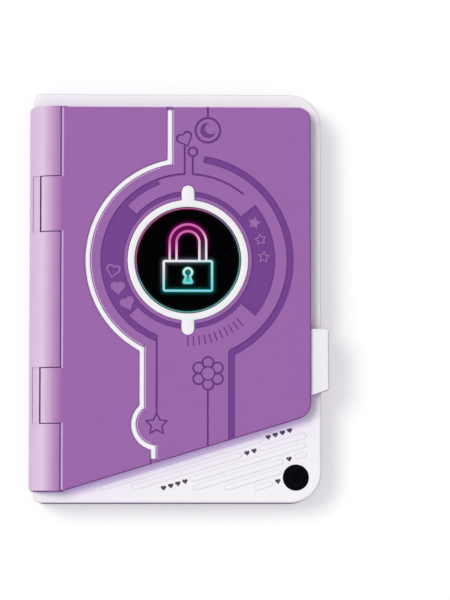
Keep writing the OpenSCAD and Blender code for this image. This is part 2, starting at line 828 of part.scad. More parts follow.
module lcd_panel() {
  color("dimgray") block_at(screen_cx, screen_cy, screen_w + 7, screen_h + 7, face_z - lcd_t, face_z);
}

module lcd_ribbon() {
  lcd_y0 = screen_cy - screen_h / 2 - 3.5;
  lcd_z0 = face_z - lcd_t;
  color("orange") {
    block_at(board_cx, lcd_y0 + 3, 18, 6, lcd_z0 - 0.3, lcd_z0);
    block(board_cx - 9, board_y1 - 4, lcd_z0 - 0.3, board_cx + 9, lcd_y0 + eps, lcd_z0);
    block(board_cx - 9, board_y1 - 4, board_z1, board_cx + 9, board_y1 - 1, lcd_z0 - 0.3 + eps);
  }
}

// Boards and what they carry

module main_board() {
  color("green") difference() {
    block_at(board_cx, board_cy, board_w, board_h, board_z0, board_z1);
    for (p = BOARD_SCREWS) post(p[0], p[1], screw_r + 0.15, board_z0 - 1, board_z1 + 1);
  }
}

module main_chips() {
  color("dimgray") {
    for (c = CHIPS) block_at(board_cx + c[0], keys_y + c[1], c[2], c[3], board_z0 - c[4], board_z0);
  }
}

function key_x(k) = board_cx + k * key_pitch;
function key_size(k) = k == 0 ? ok_r : key_r;

module key_switches() {
  color("silver") for (k = [-2 : 2]) {
    block_at(key_x(k), keys_y, 6, 6, board_z1, board_z1 + switch_body_t);
    post(key_x(k), keys_y, 1.6, board_z1 + switch_body_t - eps, switch_top);
  }
}

module key_cap(k) {
  r = key_size(k);
  color("orchid") difference() {
    union() {
      post(key_x(k), keys_y, r, key_bottom, case_t);
      post(key_x(k), keys_y, r + key_flange, key_bottom, key_bottom + key_flange_t);
    }
    translate([key_x(k), keys_y, case_t + 3 * r]) sphere(r = 3.05 * r, $fn = 96);
  }
}

module io_board() {
  color("green") difference() {
    block_at(screen_cx, io_cy, io_w, io_h, board_z0, board_z1);
    for (p = IO_SCREWS) post(p[0], p[1], screw_r + 0.15, board_z0 - 1, board_z1 + 1);
  }
}

module usb_socket() {
  y1 = case_h - 0.4;
  translate([usb_x, y1, board_z1 + usb_h / 2]) rotate([90, 0, 0]) color("silver") {
    linear_extrude(usb_l) difference() {
      usb_hole(0);
      usb_hole(-0.3);
    }
    translate([0, 0, usb_l - 1]) linear_extrude(1) usb_hole(0);
    translate([0, 0, 1]) linear_extrude(usb_l - 1.5) square([6.6, 0.7], center = true);
  }
}

module card_socket() {
  y1 = case_h - case_wall - seat;
  y0 = y1 - card_l - 1;
  color("silver") difference() {
    block(card_x - 7.4, y0, board_z1, card_x + 7.4, y1, board_z1 + 2.2);
    block(card_x - card_w / 2 - card_gap, y0 + 1, card_z - card_gap,
      card_x + card_w / 2 + card_gap, y1 + 1, card_z + card_t + card_gap);
  }
}

module memory_card() {
  y1 = case_h + 0.2;
  notch_w = 1.6;
  color("darkslategray") translate([0, 0, card_z]) linear_extrude(card_t) polygon([
    [card_x - card_w / 2, y1 - card_l],
    [card_x + card_w / 2 - notch_w, y1 - card_l],
    [card_x + card_w / 2 - notch_w, y1 - card_l + 4],
    [card_x + card_w / 2, y1 - card_l + 5],
    [card_x + card_w / 2, y1],
    [card_x - card_w / 2, y1]
  ]);
}

power_w = 9;
power_t = 3.2;
power_z = board_z1 + 2.3;

module power_button() {
  color("orchid") translate([power_x, case_h, power_z]) rotate([90, 0, 0]) {
    linear_extrude(case_wall + key_gap + 1.2) rounded_rect(power_w, power_t, 1.4);
    translate([0, 0, case_wall + key_gap]) linear_extrude(1.2) square([power_w + 2.4, power_t], center = true);
  }
}

module power_switch() {
  y1 = case_h - case_wall - key_gap - 1.2 - 0.9;
  color("silver") {
    block(power_x - 3, y1 - 5, board_z1, power_x + 3, y1 - 1, board_z1 + 3);
    block_at(power_x, y1 - 0.6, 2.6, 1.4, board_z1 + 1.4, board_z1 + 2.6);
  }
}

module battery_cell() {
  color("slategray") translate([battery_x, battery_y, case_wall]) linear_extrude(battery_t)
    rounded_rect(battery_l, battery_w, 2);
}

module speaker_unit() {
  color("dimgray") difference() {
    union() {
      post(speaker_x, speaker_y, speaker_r, face_z - 3, face_z);
      post(speaker_x, speaker_y, speaker_r * 0.62, face_z - 5.6, face_z - 3 + eps);
    }
    post(speaker_x, speaker_y, speaker_r - 1.4, face_z - 1.8, face_z + 1);
  }
}

module microphone() {
  y = row_y(2, mic_x);
  color("silver") {
    post(mic_x, y, 3, face_z - 2.2, face_z);
    post(mic_x, y, 2.2, face_z - 2.8, face_z - 2.2 + eps);
  }
}

module lens_window() {
  color("black") post(lens_x, lens_y, lens_r, case_t - lens_seat, case_t - seat);
}

module camera_module() {
  color("dimgray") {
    post(lens_x, lens_y, lens_r + 0.8, face_z - 1, face_z);
    post(lens_x, lens_y, 4.2, face_z - 5, face_z + 0.5);
    block_at(lens_x, lens_y, 10, 10, face_z - 6.4, face_z - 5 + eps);
  }
}

module lock_solenoid() {
  z0 = bolt_z - (face_z - bolt_z);
  color("silver") difference() {
    block(catch_x - solenoid_w / 2, solenoid_y0, z0, catch_x + solenoid_w / 2, solenoid_y0 + solenoid_l, face_z);
    translate([catch_x, solenoid_y0 - 1, bolt_z]) rotate([-90, 0, 0])
      cylinder(r = rod_r + 0.05, h = solenoid_l - 1);
  }
}

module lock_bolt() {
  color("gray") {
    block_at(catch_x, bolt_y0 + bolt_l / 2, bolt_w, bolt_l, bolt_z - bolt_t / 2, bolt_z + bolt_t / 2);
    translate([catch_x, bolt_y0 + bolt_l - 1, bolt_z]) rotate([-90, 0, 0]) cylinder(r = rod_r, h = rod_l);
  }
}

module case_screws() {
  color("silver") for (p = CASE_SCREWS) screw_up(p[0], p[1], head_depth, rear_h - head_depth + screw_bite);
}

module board_screws() {
  color("silver") for (p = concat(BOARD_SCREWS, IO_SCREWS)) screw_up(p[0], p[1], board_z0, board_t + board_drop - 1);
}

// Cover

module cover_shell() {
  color("mediumorchid") difference() {
    union() {
      difference() {
        union() {
          translate([0, 0, lid_z0]) soft_plate(LID_CORNERS, LID_RADII, lid_t, lid_edge_r);
          for (y = arm_ys) along_spine(y - arm_l / 2, y + arm_l / 2) arm_profile();
          tab_base();
        }
        prism(LID_POCKET, LID_POCKET_RADII, lid_wall, lid_z0 - 1, top_z0);
        prism(LID_POCKET, LID_POCKET_RADII, recess_wall, lid_z0 - 1, lid_z0 + recess_t);
      }
      for (p = COVER_SCREWS) post(p[0], p[1], boss_r, lid_z0 + recess_t, top_z0 + eps);
    }
    for (g = ARM_GAPS) hinge_bore(g[0], g[1], relief_r);
    for (y = arm_ys) hinge_bore(y - window_l, y + window_l, pin_r + pin_gap);
    at_lock(top_z0 - 1, total_t + 1) badge_ring(seat);
    at_lock(top_z0 - 1, total_t + 1) strip_shape(strip_w + 0.1, strip_head_y, strip_foot_y);
    at_lock(total_t - notch_depth, total_t + 1) strip_notches();
    at_lock(total_t - motif_depth, total_t + 1) cover_pattern();
    for (p = COVER_SCREWS) post(p[0], p[1], screw_r + 0.02, lid_z0, top_z0 - 0.6);
    tab_slot();
  }
}

// The stretches of the cover's spine edge that have no arm
ARM_GAPS = [
  [lid_y0 - 1, arm_ys[0] - arm_l / 2],
  [arm_ys[0] + arm_l / 2, arm_ys[1] - arm_l / 2],
  [arm_ys[1] + arm_l / 2, lid_y1 + 1]
];

// The tab's outline, with a sloping foot edge like the cover's
tab_x0 = lid_x1 - 2;
tab_r = 1.6;
TAB_CORNERS = [
  [tab_x0, tab_top_y - tab_l - 2 * tan(slant)],
  [total_w, tab_top_y - tab_l + (total_w - lid_x1) * tan(slant)],
  [total_w, tab_top_y],
  [tab_x0, tab_top_y]
];
TAB_RADII = [0.1, tab_r, tab_r, 0.1];
tab_base_z = lid_z0 + 2.6;
tab_cap_t = 3.4;

module tab_base() {
  prism(TAB_CORNERS, TAB_RADII, 0, lid_z0 + 0.6, tab_base_z);
}

module tab_slot() {
  intersection() {
    prism(TAB_CORNERS, TAB_RADII, -0.1, tab_base_z, tab_base_z + tab_cap_t + 0.1);
    block(0, 0, 0, lid_x1 + 1, case_h, total_t);
  }
}

module tab_cap() {
  color("white") translate([0, 0, tab_base_z]) soft_plate(TAB_CORNERS, TAB_RADII, tab_cap_t, 0.9);
}

module cover_liner() {
  color("white") difference() {
    union() {
      prism(LID_POCKET, LID_POCKET_RADII, recess_wall + seat, lid_z0 + seat, liner_top);
      for (a = [90, 210, 330]) translate([lock_x, lock_y, 0]) rotate(a) post(led_post_r, 0, 2, liner_top - eps, led_z0);
    }
    block_at(catch_x, catch_y, catch_w + 0.4, catch_d + 0.4, lid_z0 - 1, liner_top + 1);
    for (p = COVER_SCREWS) {
      post(p[0], p[1], screw_r + 0.2, lid_z0, liner_top + 1);
      post(p[0], p[1], screw_head_r + 0.2, lid_z0 - 1, cover_screw_z);
    }
  }
}

led_z0 = liner_top + 1;
led_board_r = ring_hole_r - ledge_w - 1.5;

module led_board() {
  color("green") translate([lock_x, lock_y, led_z0]) cylinder(r = led_board_r, h = 1);
}

module badge_leds() {
  color("ivory") translate([lock_x, lock_y, 0]) for (k = [0 : 7]) rotate(45 * k)
    block_at(led_board_r - 4, 0, 2.4, 2.4, led_z0 + 1, led_z0 + 1.9);
}

module lock_ring() {
  color("white") translate([lock_x, lock_y, 0]) difference() {
    union() {
      translate([0, 0, badge_z0]) linear_extrude(total_t - badge_z0) badge_ring(0);
      translate([0, 0, badge_z0]) linear_extrude(top_z0 - badge_z0) badge_ring(2);
    }
    translate([0, 0, badge_z0 + 0.8]) cylinder(r = ring_hole_r, h = lid_t, $fn = 128);
    translate([0, 0, badge_z0 - 1]) cylinder(r = ring_hole_r - ledge_w, h = lid_t);
  }
}

module halo_ring() {
  color("violet") translate([lock_x, lock_y, badge_z0 + 0.8]) linear_extrude(total_t - 0.4 - badge_z0 - 0.8)
    ring_band(window_r + 0.05, ring_hole_r - 0.05);
}

// The padlock that the light shows through the window
module padlock_shape() {
  line = 1.25;
  w = 26;
  h = 16.4;
  bow_w = 20.3;
  bow_in = 13;
  difference() {
    translate([0, -h / 2]) rounded_rect(w, h, 1.1);
    translate([0, -h / 2]) square([w - 2 * line, h - 2 * line], center = true);
  }
  bow(bow_w, 9.2, line);
  bow(bow_in, 9.2, line);
  translate([0, -6.4]) ring_shape(2.7, 0.9);
  difference() {
    polygon([[-1.2, -8.4], [-2.7, -12.4], [2.7, -12.4], [1.2, -8.4]]);
    polygon([[-0.5, -8.4], [-1.4, -11.5], [1.4, -11.5], [0.5, -8.4]]);
  }
}

module bow(w, rise, line) {
  intersection() {
    difference() {
      translate([0, rise]) circle(r = w / 2);
      translate([0, rise]) circle(r = w / 2 - line);
    }
    translate([-w, rise]) square([2 * w, 2 * w]);
  }
  for (s = [-1, 1]) translate([s * (w / 2 - line / 2), rise / 2]) square([line, rise + 0.4], center = true);
}

module lock_window() {
  color("black") difference() {
    translate([lock_x, lock_y, badge_z0 + 0.8]) cylinder(r = window_r, h = total_t - 0.6 - badge_z0 - 0.8, $fn = 128);
    at_lock(total_t - 1.4, total_t) padlock_shape();
  }
}

module padlock_guide() {
  color("pink") at_lock(total_t - 1.4, total_t - 0.6) padlock_shape();
}

module light_strip() {
  color("white") {
    at_lock(top_z0 - eps, total_t - strip_drop) strip_shape(strip_w, strip_head_y - 0.05, strip_foot_y + 0.05);
    at_lock(top_z0 - 1, top_z0) strip_shape(strip_w + 2, flange_head_y, flange_foot_y);
  }
}

module lock_catch() {
  z0 = bolt_z - bolt_t / 2 - catch_play - 1.6;
  color("silver") difference() {
    union() {
      block_at(catch_x, catch_y, catch_w, catch_d, z0, liner_top + eps);
      block_at(catch_x, catch_y, catch_w, catch_d + 12, liner_top, liner_top + 1);
    }
    block_at(catch_x, catch_y, bolt_w + 2 * catch_play, catch_d + 1, z0 + 1.6, lid_z0 - 1);
    for (s = [-1, 1]) post(catch_x, catch_y + s * (catch_d / 2 + 3.2), screw_r + 0.1, liner_top - 1, liner_top + 2);
  }
}

module catch_screws() {
  color("silver") for (s = [-1, 1])
    translate([catch_x, catch_y + s * (catch_d / 2 + 3.2), liner_top + 1]) mirror([0, 0, 1]) screw_up(0, 0, 0, 1);
}

module cover_screws() {
  color("silver") for (p = COVER_SCREWS) screw_up(p[0], p[1], cover_screw_z, top_z0 - 1 - cover_screw_z, flat_head_t);
}

place() rear_cover();
place() front_case();
place() spine_cover();
place() hinge_pin(arm_ys[1]);  // upper_hinge_pin
place() hinge_pin(arm_ys[0]);  // lower_hinge_pin
place() screen_window();
place() lcd_panel();
place() lcd_ribbon();
place() main_board();
place() main_chips();
place() key_switches();
place() io_board();
place() usb_socket();
place() card_socket();
place() power_switch();
place() battery_cell();
place() speaker_unit();
place() microphone();
place() lens_window();
place() camera_module();
place() lock_solenoid();
place() case_screws();
place() board_screws();
place() spine_screws();
place() cover_shell();
place() cover_liner();
place() light_strip();
place() lock_ring();
place() halo_ring();
place() lock_window();
place() padlock_guide();
place() led_board();
place() badge_leds();
place() lock_catch();
place() catch_screws();
place() tab_cap();
place() cover_screws();
place() key_cap(-2);  // back_key
place() key_cap(-1);  // left_key
place() key_cap(0);  // ok_key
place() key_cap(1);  // right_key
place() key_cap(2);  // shutter_key
place() power_button();
place() lock_bolt();
place() memory_card();
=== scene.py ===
"""Looks, camera and studio for an electronic diary with a hinged cover and a lit lock badge."""

import math

import bmesh
import bpy
import numpy as np
from bpy.props import FloatProperty, FloatVectorProperty, IntProperty, PointerProperty
from mathutils import Matrix, Vector


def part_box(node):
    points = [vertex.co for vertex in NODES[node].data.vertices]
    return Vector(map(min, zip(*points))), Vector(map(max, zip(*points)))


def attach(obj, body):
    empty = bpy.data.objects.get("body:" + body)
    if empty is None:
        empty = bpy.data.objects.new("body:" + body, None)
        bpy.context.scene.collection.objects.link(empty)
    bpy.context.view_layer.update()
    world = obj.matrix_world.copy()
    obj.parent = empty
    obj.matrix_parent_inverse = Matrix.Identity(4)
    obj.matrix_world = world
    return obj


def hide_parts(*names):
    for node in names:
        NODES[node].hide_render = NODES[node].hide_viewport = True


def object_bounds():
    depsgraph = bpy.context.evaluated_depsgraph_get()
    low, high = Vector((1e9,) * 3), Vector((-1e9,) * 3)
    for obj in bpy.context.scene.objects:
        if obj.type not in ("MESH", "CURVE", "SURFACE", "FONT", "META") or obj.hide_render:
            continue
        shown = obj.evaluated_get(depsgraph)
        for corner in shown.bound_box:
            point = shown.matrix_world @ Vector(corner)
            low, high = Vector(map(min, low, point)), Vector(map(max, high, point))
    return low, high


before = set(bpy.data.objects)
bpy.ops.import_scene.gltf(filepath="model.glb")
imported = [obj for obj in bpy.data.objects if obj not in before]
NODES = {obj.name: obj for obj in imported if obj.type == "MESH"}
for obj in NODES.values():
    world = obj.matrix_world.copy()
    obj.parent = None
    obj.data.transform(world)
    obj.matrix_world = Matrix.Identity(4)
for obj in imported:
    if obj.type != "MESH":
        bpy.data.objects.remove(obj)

bl_info = {
    "name": "Lit Lock Diary",
    "version": (1, 0, 0),
    "blender": (4, 5, 0),
    "location": "3D View > Sidebar > Diary",
    "description": "Dresses the packed diary and sets its camera and studio",
    "category": "Object",
}

CAD_BOX = [list(corner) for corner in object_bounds()]
MM = 0.001
SAME = 2e-6  # metres: points nearer than this are one point
LEVEL = 5e-6  # metres: points nearer than this in height lie on one face
LIFT = 0.02 * MM  # how far a thin piece is lifted off the face that it lies on


def tint(r, g, b):
    """A screen colour of 0 to 255 as the linear colour that a shader takes."""
    return tuple(
        (c / 255 / 12.92) if c <= 10.3 else ((c / 255 + 0.055) / 1.055) ** 2.4
        for c in (r, g, b)
    )


def middle(node):
    """The middle of a CAD node's box."""
    lo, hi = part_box(node)
    return (Vector(lo) + Vector(hi)) / 2


def top_of(node):
    """The height of a CAD node's top."""
    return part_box(node)[1][2]


LOCK = middle("halo_ring")


def hue(name, description, *screen):
    """A colour, its default given as a screen colour."""
    return FloatVectorProperty(
        name=name, description=description, default=tint(*screen), subtype="COLOR", min=0, max=1,
    )


def length(name, description, default, low, high):
    """A length, its default and limits given in mm."""
    return FloatProperty(
        name=name, description=description, default=default * MM, min=low * MM, max=high * MM,
        subtype="DISTANCE", unit="LENGTH",
    )


def share(name, description, default, high=1.0):
    """A number from 0 up."""
    return FloatProperty(name=name, description=description, default=default, min=0, max=high)


def angle(name, description, degrees):
    """An angle, its default given in degrees."""
    return FloatProperty(
        name=name, description=description, default=math.radians(degrees), subtype="ANGLE", unit="ROTATION",
    )


class DiaryColours(bpy.types.PropertyGroup):
    """Colours of the diary's mouldings and lights."""

    cover: hue("Cover", "Purple of the hinged cover", 153, 99, 168)
    motif: hue("Motif", "Deep purple of the sunk pattern", 113, 59, 141)
    # Painted shade: this dark purple stands for the shade on the cover's fore and foot edges; it also
    # colours the painted glow in the hinge gaps and the halo ring's dim light.
    rim: hue("Rim", "Dark purple of the cover's fore and foot edges", 84, 32, 116)
    # Painted shade: the purple of faces in the gaps round the hinge arms and at the spine's ends, where
    # shade falls.
    gap: hue("Gap", "Purple inside the narrow gaps round the hinge arms", 128, 66, 158)
    # Painted light: the cover's slanted edge is no lamp; its glow tints the shade below it purple.
    painted_edge_glow: hue("Edge glow", "Light from the cover's slanted edge", 160, 36, 214)
    # The spine's colours hold a painted highlight: their palest band stands for light on the rounded spine.
    spine: hue("Spine", "Lilac at the outside of the spine", 217, 187, 220)
    spine_highlight: hue("Spine light", "Palest band of the spine", 222, 197, 226)
    spine_pink: hue("Spine pink", "Where the spine turns to the cover's purple", 180, 132, 184)
    # Painted light: this pale tint lifts the shade on the walls of the spine's ledge.
    ledge: hue("Ledge", "Pale line at the spine's outside", 252, 240, 253)
    shell: hue("Rear shell", "Purple of the rear cover", 142, 96, 160)
    case: hue("Case", "White of the front case", 245, 243, 247)
    # Painted shade: the grey of the case's walls and of the beads round the ribs stands for their shade.
    case_wall_shade: hue("Case rim", "Grey of the case's walls and of the ribs' edging", 203, 199, 207)
    tab: hue("Tab", "White of the thumb tab", 240, 238, 243)
    # Painted shade on the thumb tab's fore edge.
    tab_fore_shade: hue("Tab's fore edge", "Grey of the thumb tab's fore edge", 168, 160, 180)
    grille: hue("Grille", "Gauze behind the heart-shaped holes", 88, 80, 96)
    light_guide: hue("Light guide", "White of the ring and the light strip", 240, 239, 242)
    line_white: hue("Line white", "Light where the padlock's lines are palest", 247, 243, 250)
    glow_pink: hue("Pink glow", "Light at the top of the padlock", 216, 104, 180)
    ring_pink: hue("Ring pink", "Light at the top of the thin glowing ring", 224, 66, 160)
    deep_magenta: hue("Deep magenta", "Dim light round the shackle's lines", 104, 12, 76)
    deep_teal: hue("Deep teal", "Dim light round the padlock's body and keyhole", 6, 92, 84)
    haze: hue("Haze", "Dim light round the padlock's body, above the teal", 96, 92, 104)
    bow_haze: hue("Bow haze", "Dim light in the shackle's right leg", 70, 66, 80)
    keyhole: hue("Keyhole", "Light at the top of the keyhole's line", 214, 246, 242)
    glow_lavender: hue("Lavender glow", "Light at the right of the badge", 120, 112, 164)
    glow_teal: hue("Teal glow", "Light at the foot of the badge", 56, 190, 172)
    glow_cyan: hue("Cyan glow", "Light of the padlock's body", 122, 216, 230)


class DiarySizes(bpy.types.PropertyGroup):
    """Sizes of the dressing, strengths of its lights, and the camera's view."""

    ring_edge: length("Ring edge", "Bevel of the lit ring", 0.5, 0, 1)
    strip_edge: length("Strip edge", "Bevel of the light strip", 0.35, 0, 1)
    corner: length("Corner", "Rounding of the lit ring's corners, seen from above", 0.9, 0.1, 1.4)
    bead: length("Bead", "Radius of the edging round a rib", 0.16, 0.05, 0.3)
    edging: length("Edging", "Radius of the edging on the cover's sunk lines", 0.2, 0.05, 0.4)
    edging_height: share("Edging height", "Height of the cover's edging against its width", 0.35)
    # The lit edge beside the strip is a painted highlight.
    glint_off: length("Glint offset", "From the light strip to the lit edge beside it", 0.5, 0.2, 1.5)
    band_middle: length("Band middle", "Radius of the hearts and stars round the lock", 38.9, 30, 50)
    ledge: length("Ledge", "Width of the spine's ledge outside the hinge arms", 4, 1, 8)
    small_hole: length("Small hole", "Widest hole that gauze backs", 4, 1, 8)
    gauze_depth: length("Gauze depth", "Depth of the gauze below the face", 0.6, 0.1, 2)
    ring_core: length("Ring core", "From the glowing ring's outside to its lit core", 0.62, 0.1, 2)
    glow_reach: length("Glow reach", "How far the padlock's light spreads", 0.75, 0.1, 4)
    line: length("Line", "Width of the padlock's lines", 1.15, 0.5, 2)
    bow: length("Bow", "Radius of the shackle's outer line", 9.4, 7, 12)
    bow_inner: length("Inner bow", "Radius of the shackle's inner line", 5.9, 3, 7)
    sight_w: length("Picture width", "Width of the screen's picture", 89, 40, 100)
    sight_h: length("Picture height", "Height of the screen's picture", 50, 20, 60)
    screw_head: length("Screw head", "Radius of a screw's head", 2.3, 1, 4)
    screw_core: length("Screw core", "Radius of a screw's thread", 1.1, 0.5, 2)
    glow_power: share("Glow power", "Strength of the badge's light", 0.95, 4)
    # Painted light: a faint emission that lifts the shade of the strip's groove.
    painted_strip_glow: share("Strip glow", "Faint light of the white strip, sunk in its groove", 0.1)
    # Painted light: a dim purple emission that keeps the gaps' painted shade purple instead of black.
    painted_gap_glow: share("Gap glow", "Light that the gaps round the hinge arms hold", 0.28)
    # Painted light: how strongly the slanted edge glows to tint the shade below it.
    painted_foot_glow: share("Foot glow", "Strength of the slanted edge's light", 0.8)
    screw_sides: IntProperty(
        name="Screw sides", description="Sides of a screw head", default=32, min=12, max=64,
    )
    camera_left: angle("Camera left", "How far left of square the camera stands", 2)
    camera_low: angle("Camera low", "How far below square the camera stands", 4)
    camera_distance: length("Camera distance", "From the camera to the cover", 1500, 300, 5000)
    aim_right: length("Aim right", "From the lock to the picture's middle, to the right", 19.1, 0, 100)
    aim_low: length("Aim low", "From the lock to the picture's middle, downwards", 20.6, 0, 100)
    view_height: length("View height", "Height that the picture takes in", 309, 100, 1000)


def colours():
    """The diary's colours, as set in this scene."""
    return bpy.context.scene.diary_colours


def sizes():
    """The dressing's sizes, as set in this scene."""
    return bpy.context.scene.diary_sizes


# Shader building


class Finish:
    """One material and short ways to add nodes to it."""

    def __init__(self, name, roughness=0.35, **sockets):
        self.material = bpy.data.materials.new(name)
        self.material.use_nodes = True
        self.tree = self.material.node_tree
        self.shader = self.tree.nodes["Principled BSDF"]
        self.place = self.add("ShaderNodeTexCoord").outputs["Object"]
        self.set(Roughness=roughness)
        for socket, value in sockets.items():
            self.shader.inputs[socket.replace("_", " ")].default_value = value

    def set(self, **sockets):
        """Gives the shader's sockets a value or a link, a socket's blanks written as underscores."""
        for socket, value in sockets.items():
            self.plug(self.shader.inputs[socket.replace("_", " ")], value)

    def plug(self, socket, value):
        """Gives one socket a value or a link."""
        if isinstance(value, bpy.types.NodeSocket):
            self.tree.links.new(value, socket)
        elif socket.type == "RGBA":
            socket.default_value = (*value[:3], 1)
        else:
            socket.default_value = value

    def add(self, kind, inputs=(), **settings):
        """A new node with its inputs and settings."""
        node = self.tree.nodes.new(kind)
        for name, value in settings.items():
            setattr(node, name, value)
        for key, value in dict(inputs).items():
            self.plug(node.inputs[key], value)
        return node

    def maths(self, operation, a, b=0.0):
        """The result of one sum on numbers or sockets."""
        node = self.add("ShaderNodeMath", {0: a, 1: b}, operation=operation)
        return node.outputs[0]

    def above(self, value, limit):
        """1 where a value is over a limit, else 0."""
        return self.maths("GREATER_THAN", value, limit)

    def below(self, value, limit):
        """1 where a value is under a limit, else 0."""
        return self.maths("LESS_THAN", value, limit)

    def other(self, share):
        """What a share leaves of 1."""
        return self.maths("SUBTRACT", 1.0, share)

    def both(self, *shares):
        """The product of shares, which holds only where all of them do."""
        product = shares[0]
        for share in shares[1:]:
            product = self.maths("MULTIPLY", product, share)
        return product

    def away(self, name, place):
        """How far a point lies from a place along one of the object's own axes, with its sign."""
        return self.maths("SUBTRACT", self.axis(name), place)

    def out_from(self, centre):
        """How far a point lies from an upright axis."""
        dx, dy = self.away("X", centre.x), self.away("Y", centre.y)
        return self.maths("SQRT", self.maths("ADD", self.both(dx, dx), self.both(dy, dy)))

    def ramp_value(self, value, low, high, smooth=True):
        """A value's climb from 0 at low to 1 at high."""
        node = self.add(
            "ShaderNodeMapRange", {"Value": value, "From Min": low, "From Max": high},
            interpolation_type="SMOOTHSTEP" if smooth else "LINEAR",
        )
        return node.outputs["Result"]

    def mix(self, share, a, b):
        """Colour a, turned to colour b by a share."""
        node = self.add("ShaderNodeMix", data_type="RGBA")
        self.plug(node.inputs[0], share)
        self.plug(node.inputs[6], a)
        self.plug(node.inputs[7], b)
        return node.outputs[2]

    def noise(self, size_mm, detail=2.0, place=None):
        """Noise whose patches are about a size in mm."""
        node = self.add(
            "ShaderNodeTexNoise",
            {"Vector": place or self.place, "Scale": 1 / (size_mm * MM), "Detail": detail},
        )
        return node.outputs["Fac"]

    def bands(self, value, stops):
        """A colour that changes with value, through stops of (value, colour)."""
        ramp = self.add("ShaderNodeValToRGB", {"Fac": value})
        points = ramp.color_ramp.elements
        while len(points) < len(stops):
            points.new(0.5)
        for point, (position, colour) in zip(points, stops):
            point.position = position
            point.color = (*colour[:3], 1)
        return ramp.outputs["Color"]

    def axis(self, name):
        """Where a point lies along one of the object's own axes."""
        if not hasattr(self, "split"):
            self.split = self.add("ShaderNodeSeparateXYZ", {"Vector": self.place})
        return self.split.outputs[name]

    def facing(self, name):
        """How far the surface faces along one of the object's own axes."""
        if not hasattr(self, "normal"):
            normal = self.add("ShaderNodeTexCoord").outputs["Normal"]
            self.normal = self.add("ShaderNodeSeparateXYZ", {"Vector": normal})
        return self.normal.outputs[name]

    def most(self, *values):
        """The highest of some values."""
        highest = values[0]
        for value in values[1:]:
            highest = self.maths("MAXIMUM", highest, value)
        return highest

    def mottle(self, colour, size_mm=6.0, amount=0.06):
        """Slight unevenness of a moulded colour."""
        linked = isinstance(colour, bpy.types.NodeSocket)
        plain = (1, 1, 1) if linked else colour
        patch = self.ramp_value(self.noise(size_mm, 3.0), 0.35, 0.7)
        shade = self.mix(patch, plain, [c * (1 - amount) for c in plain])
        if linked:
            node = self.add("ShaderNodeMix", data_type="RGBA", blend_type="MULTIPLY")
            node.inputs[0].default_value = 1.0
            self.plug(node.inputs[6], colour)
            self.plug(node.inputs[7], shade)
            return node.outputs[2]
        return shade

    def grain(self, size_mm=0.25, depth_mm=0.01, detail=2.0):
        """Fine moulded texture, as bump."""
        bump = self.add(
            "ShaderNodeBump",
            {"Height": self.noise(size_mm, detail), "Distance": depth_mm * MM, "Strength": 1.0},
        )
        self.set(Normal=bump.outputs["Normal"])

    def uneven_gloss(self, low, high, size_mm=3.0):
        """Roughness that varies between two values."""
        self.set(Roughness=self.ramp_value_to(self.noise(size_mm, 3.0), low, high))

    def ramp_value_to(self, value, low, high):
        """A share turned into a value from low to high."""
        node = self.add("ShaderNodeMapRange", {"Value": value, "To Min": low, "To Max": high})
        return node.outputs["Result"]


def moulded(name, colour, low=0.3, high=0.42, grain=0.25, depth=0.008, mottle=0.05, **sockets):
    """A moulded plastic with its slight mottle, fine grain and uneven gloss."""
    finish = Finish(name, **sockets)
    finish.set(Base_Color=finish.mottle(colour, amount=mottle))
    finish.uneven_gloss(low, high)
    finish.grain(grain, depth)
    return finish.material


def dress(material, *nodes):
    """Gives CAD nodes their material."""
    for node in nodes:
        slots = NODES[node].data.materials
        slots.clear()
        slots.append(material)


# Mesh building


def piece(name, mesh, body, material, slot, *nodes):
    """Adds a mesh as a piece that rides on a body and stands for CAD nodes."""
    made = placed(name, mesh)
    mesh.materials.clear()
    mesh.materials.append(material)
    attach(made, body)
    if nodes:
        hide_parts(*nodes)
    return made


def smooth_by_angle(mesh, degrees=35):
    """Smooth shading, apart from edges sharper than an angle."""
    mesh.polygons.foreach_set("use_smooth", [True] * len(mesh.polygons))
    mesh.set_sharp_from_angle(angle=math.radians(degrees))
    mesh.update()


def merged(node):
    """A CAD node's mesh with its double points merged."""
    bm = bmesh.new()
    bm.from_mesh(NODES[node].data)
    bmesh.ops.remove_doubles(bm, verts=bm.verts, dist=SAME)
    return bm


def held(bm, name):
    """The mesh that a bmesh turns into."""
    mesh = bpy.data.meshes.new(name)
    bm.to_mesh(mesh)
    bm.free()
    return mesh


def evaluated(made):
    """The mesh of an object with its modifiers applied; the object is removed."""
    bpy.context.view_layer.update()
    mesh = bpy.data.meshes.new_from_object(made.evaluated_get(bpy.context.evaluated_depsgraph_get()))
    bpy.data.objects.remove(made)
    return mesh


def placed(name, data):
    """A new object in the scene."""
    made = bpy.data.objects.new(name, data)
    bpy.context.collection.objects.link(made)
    return made


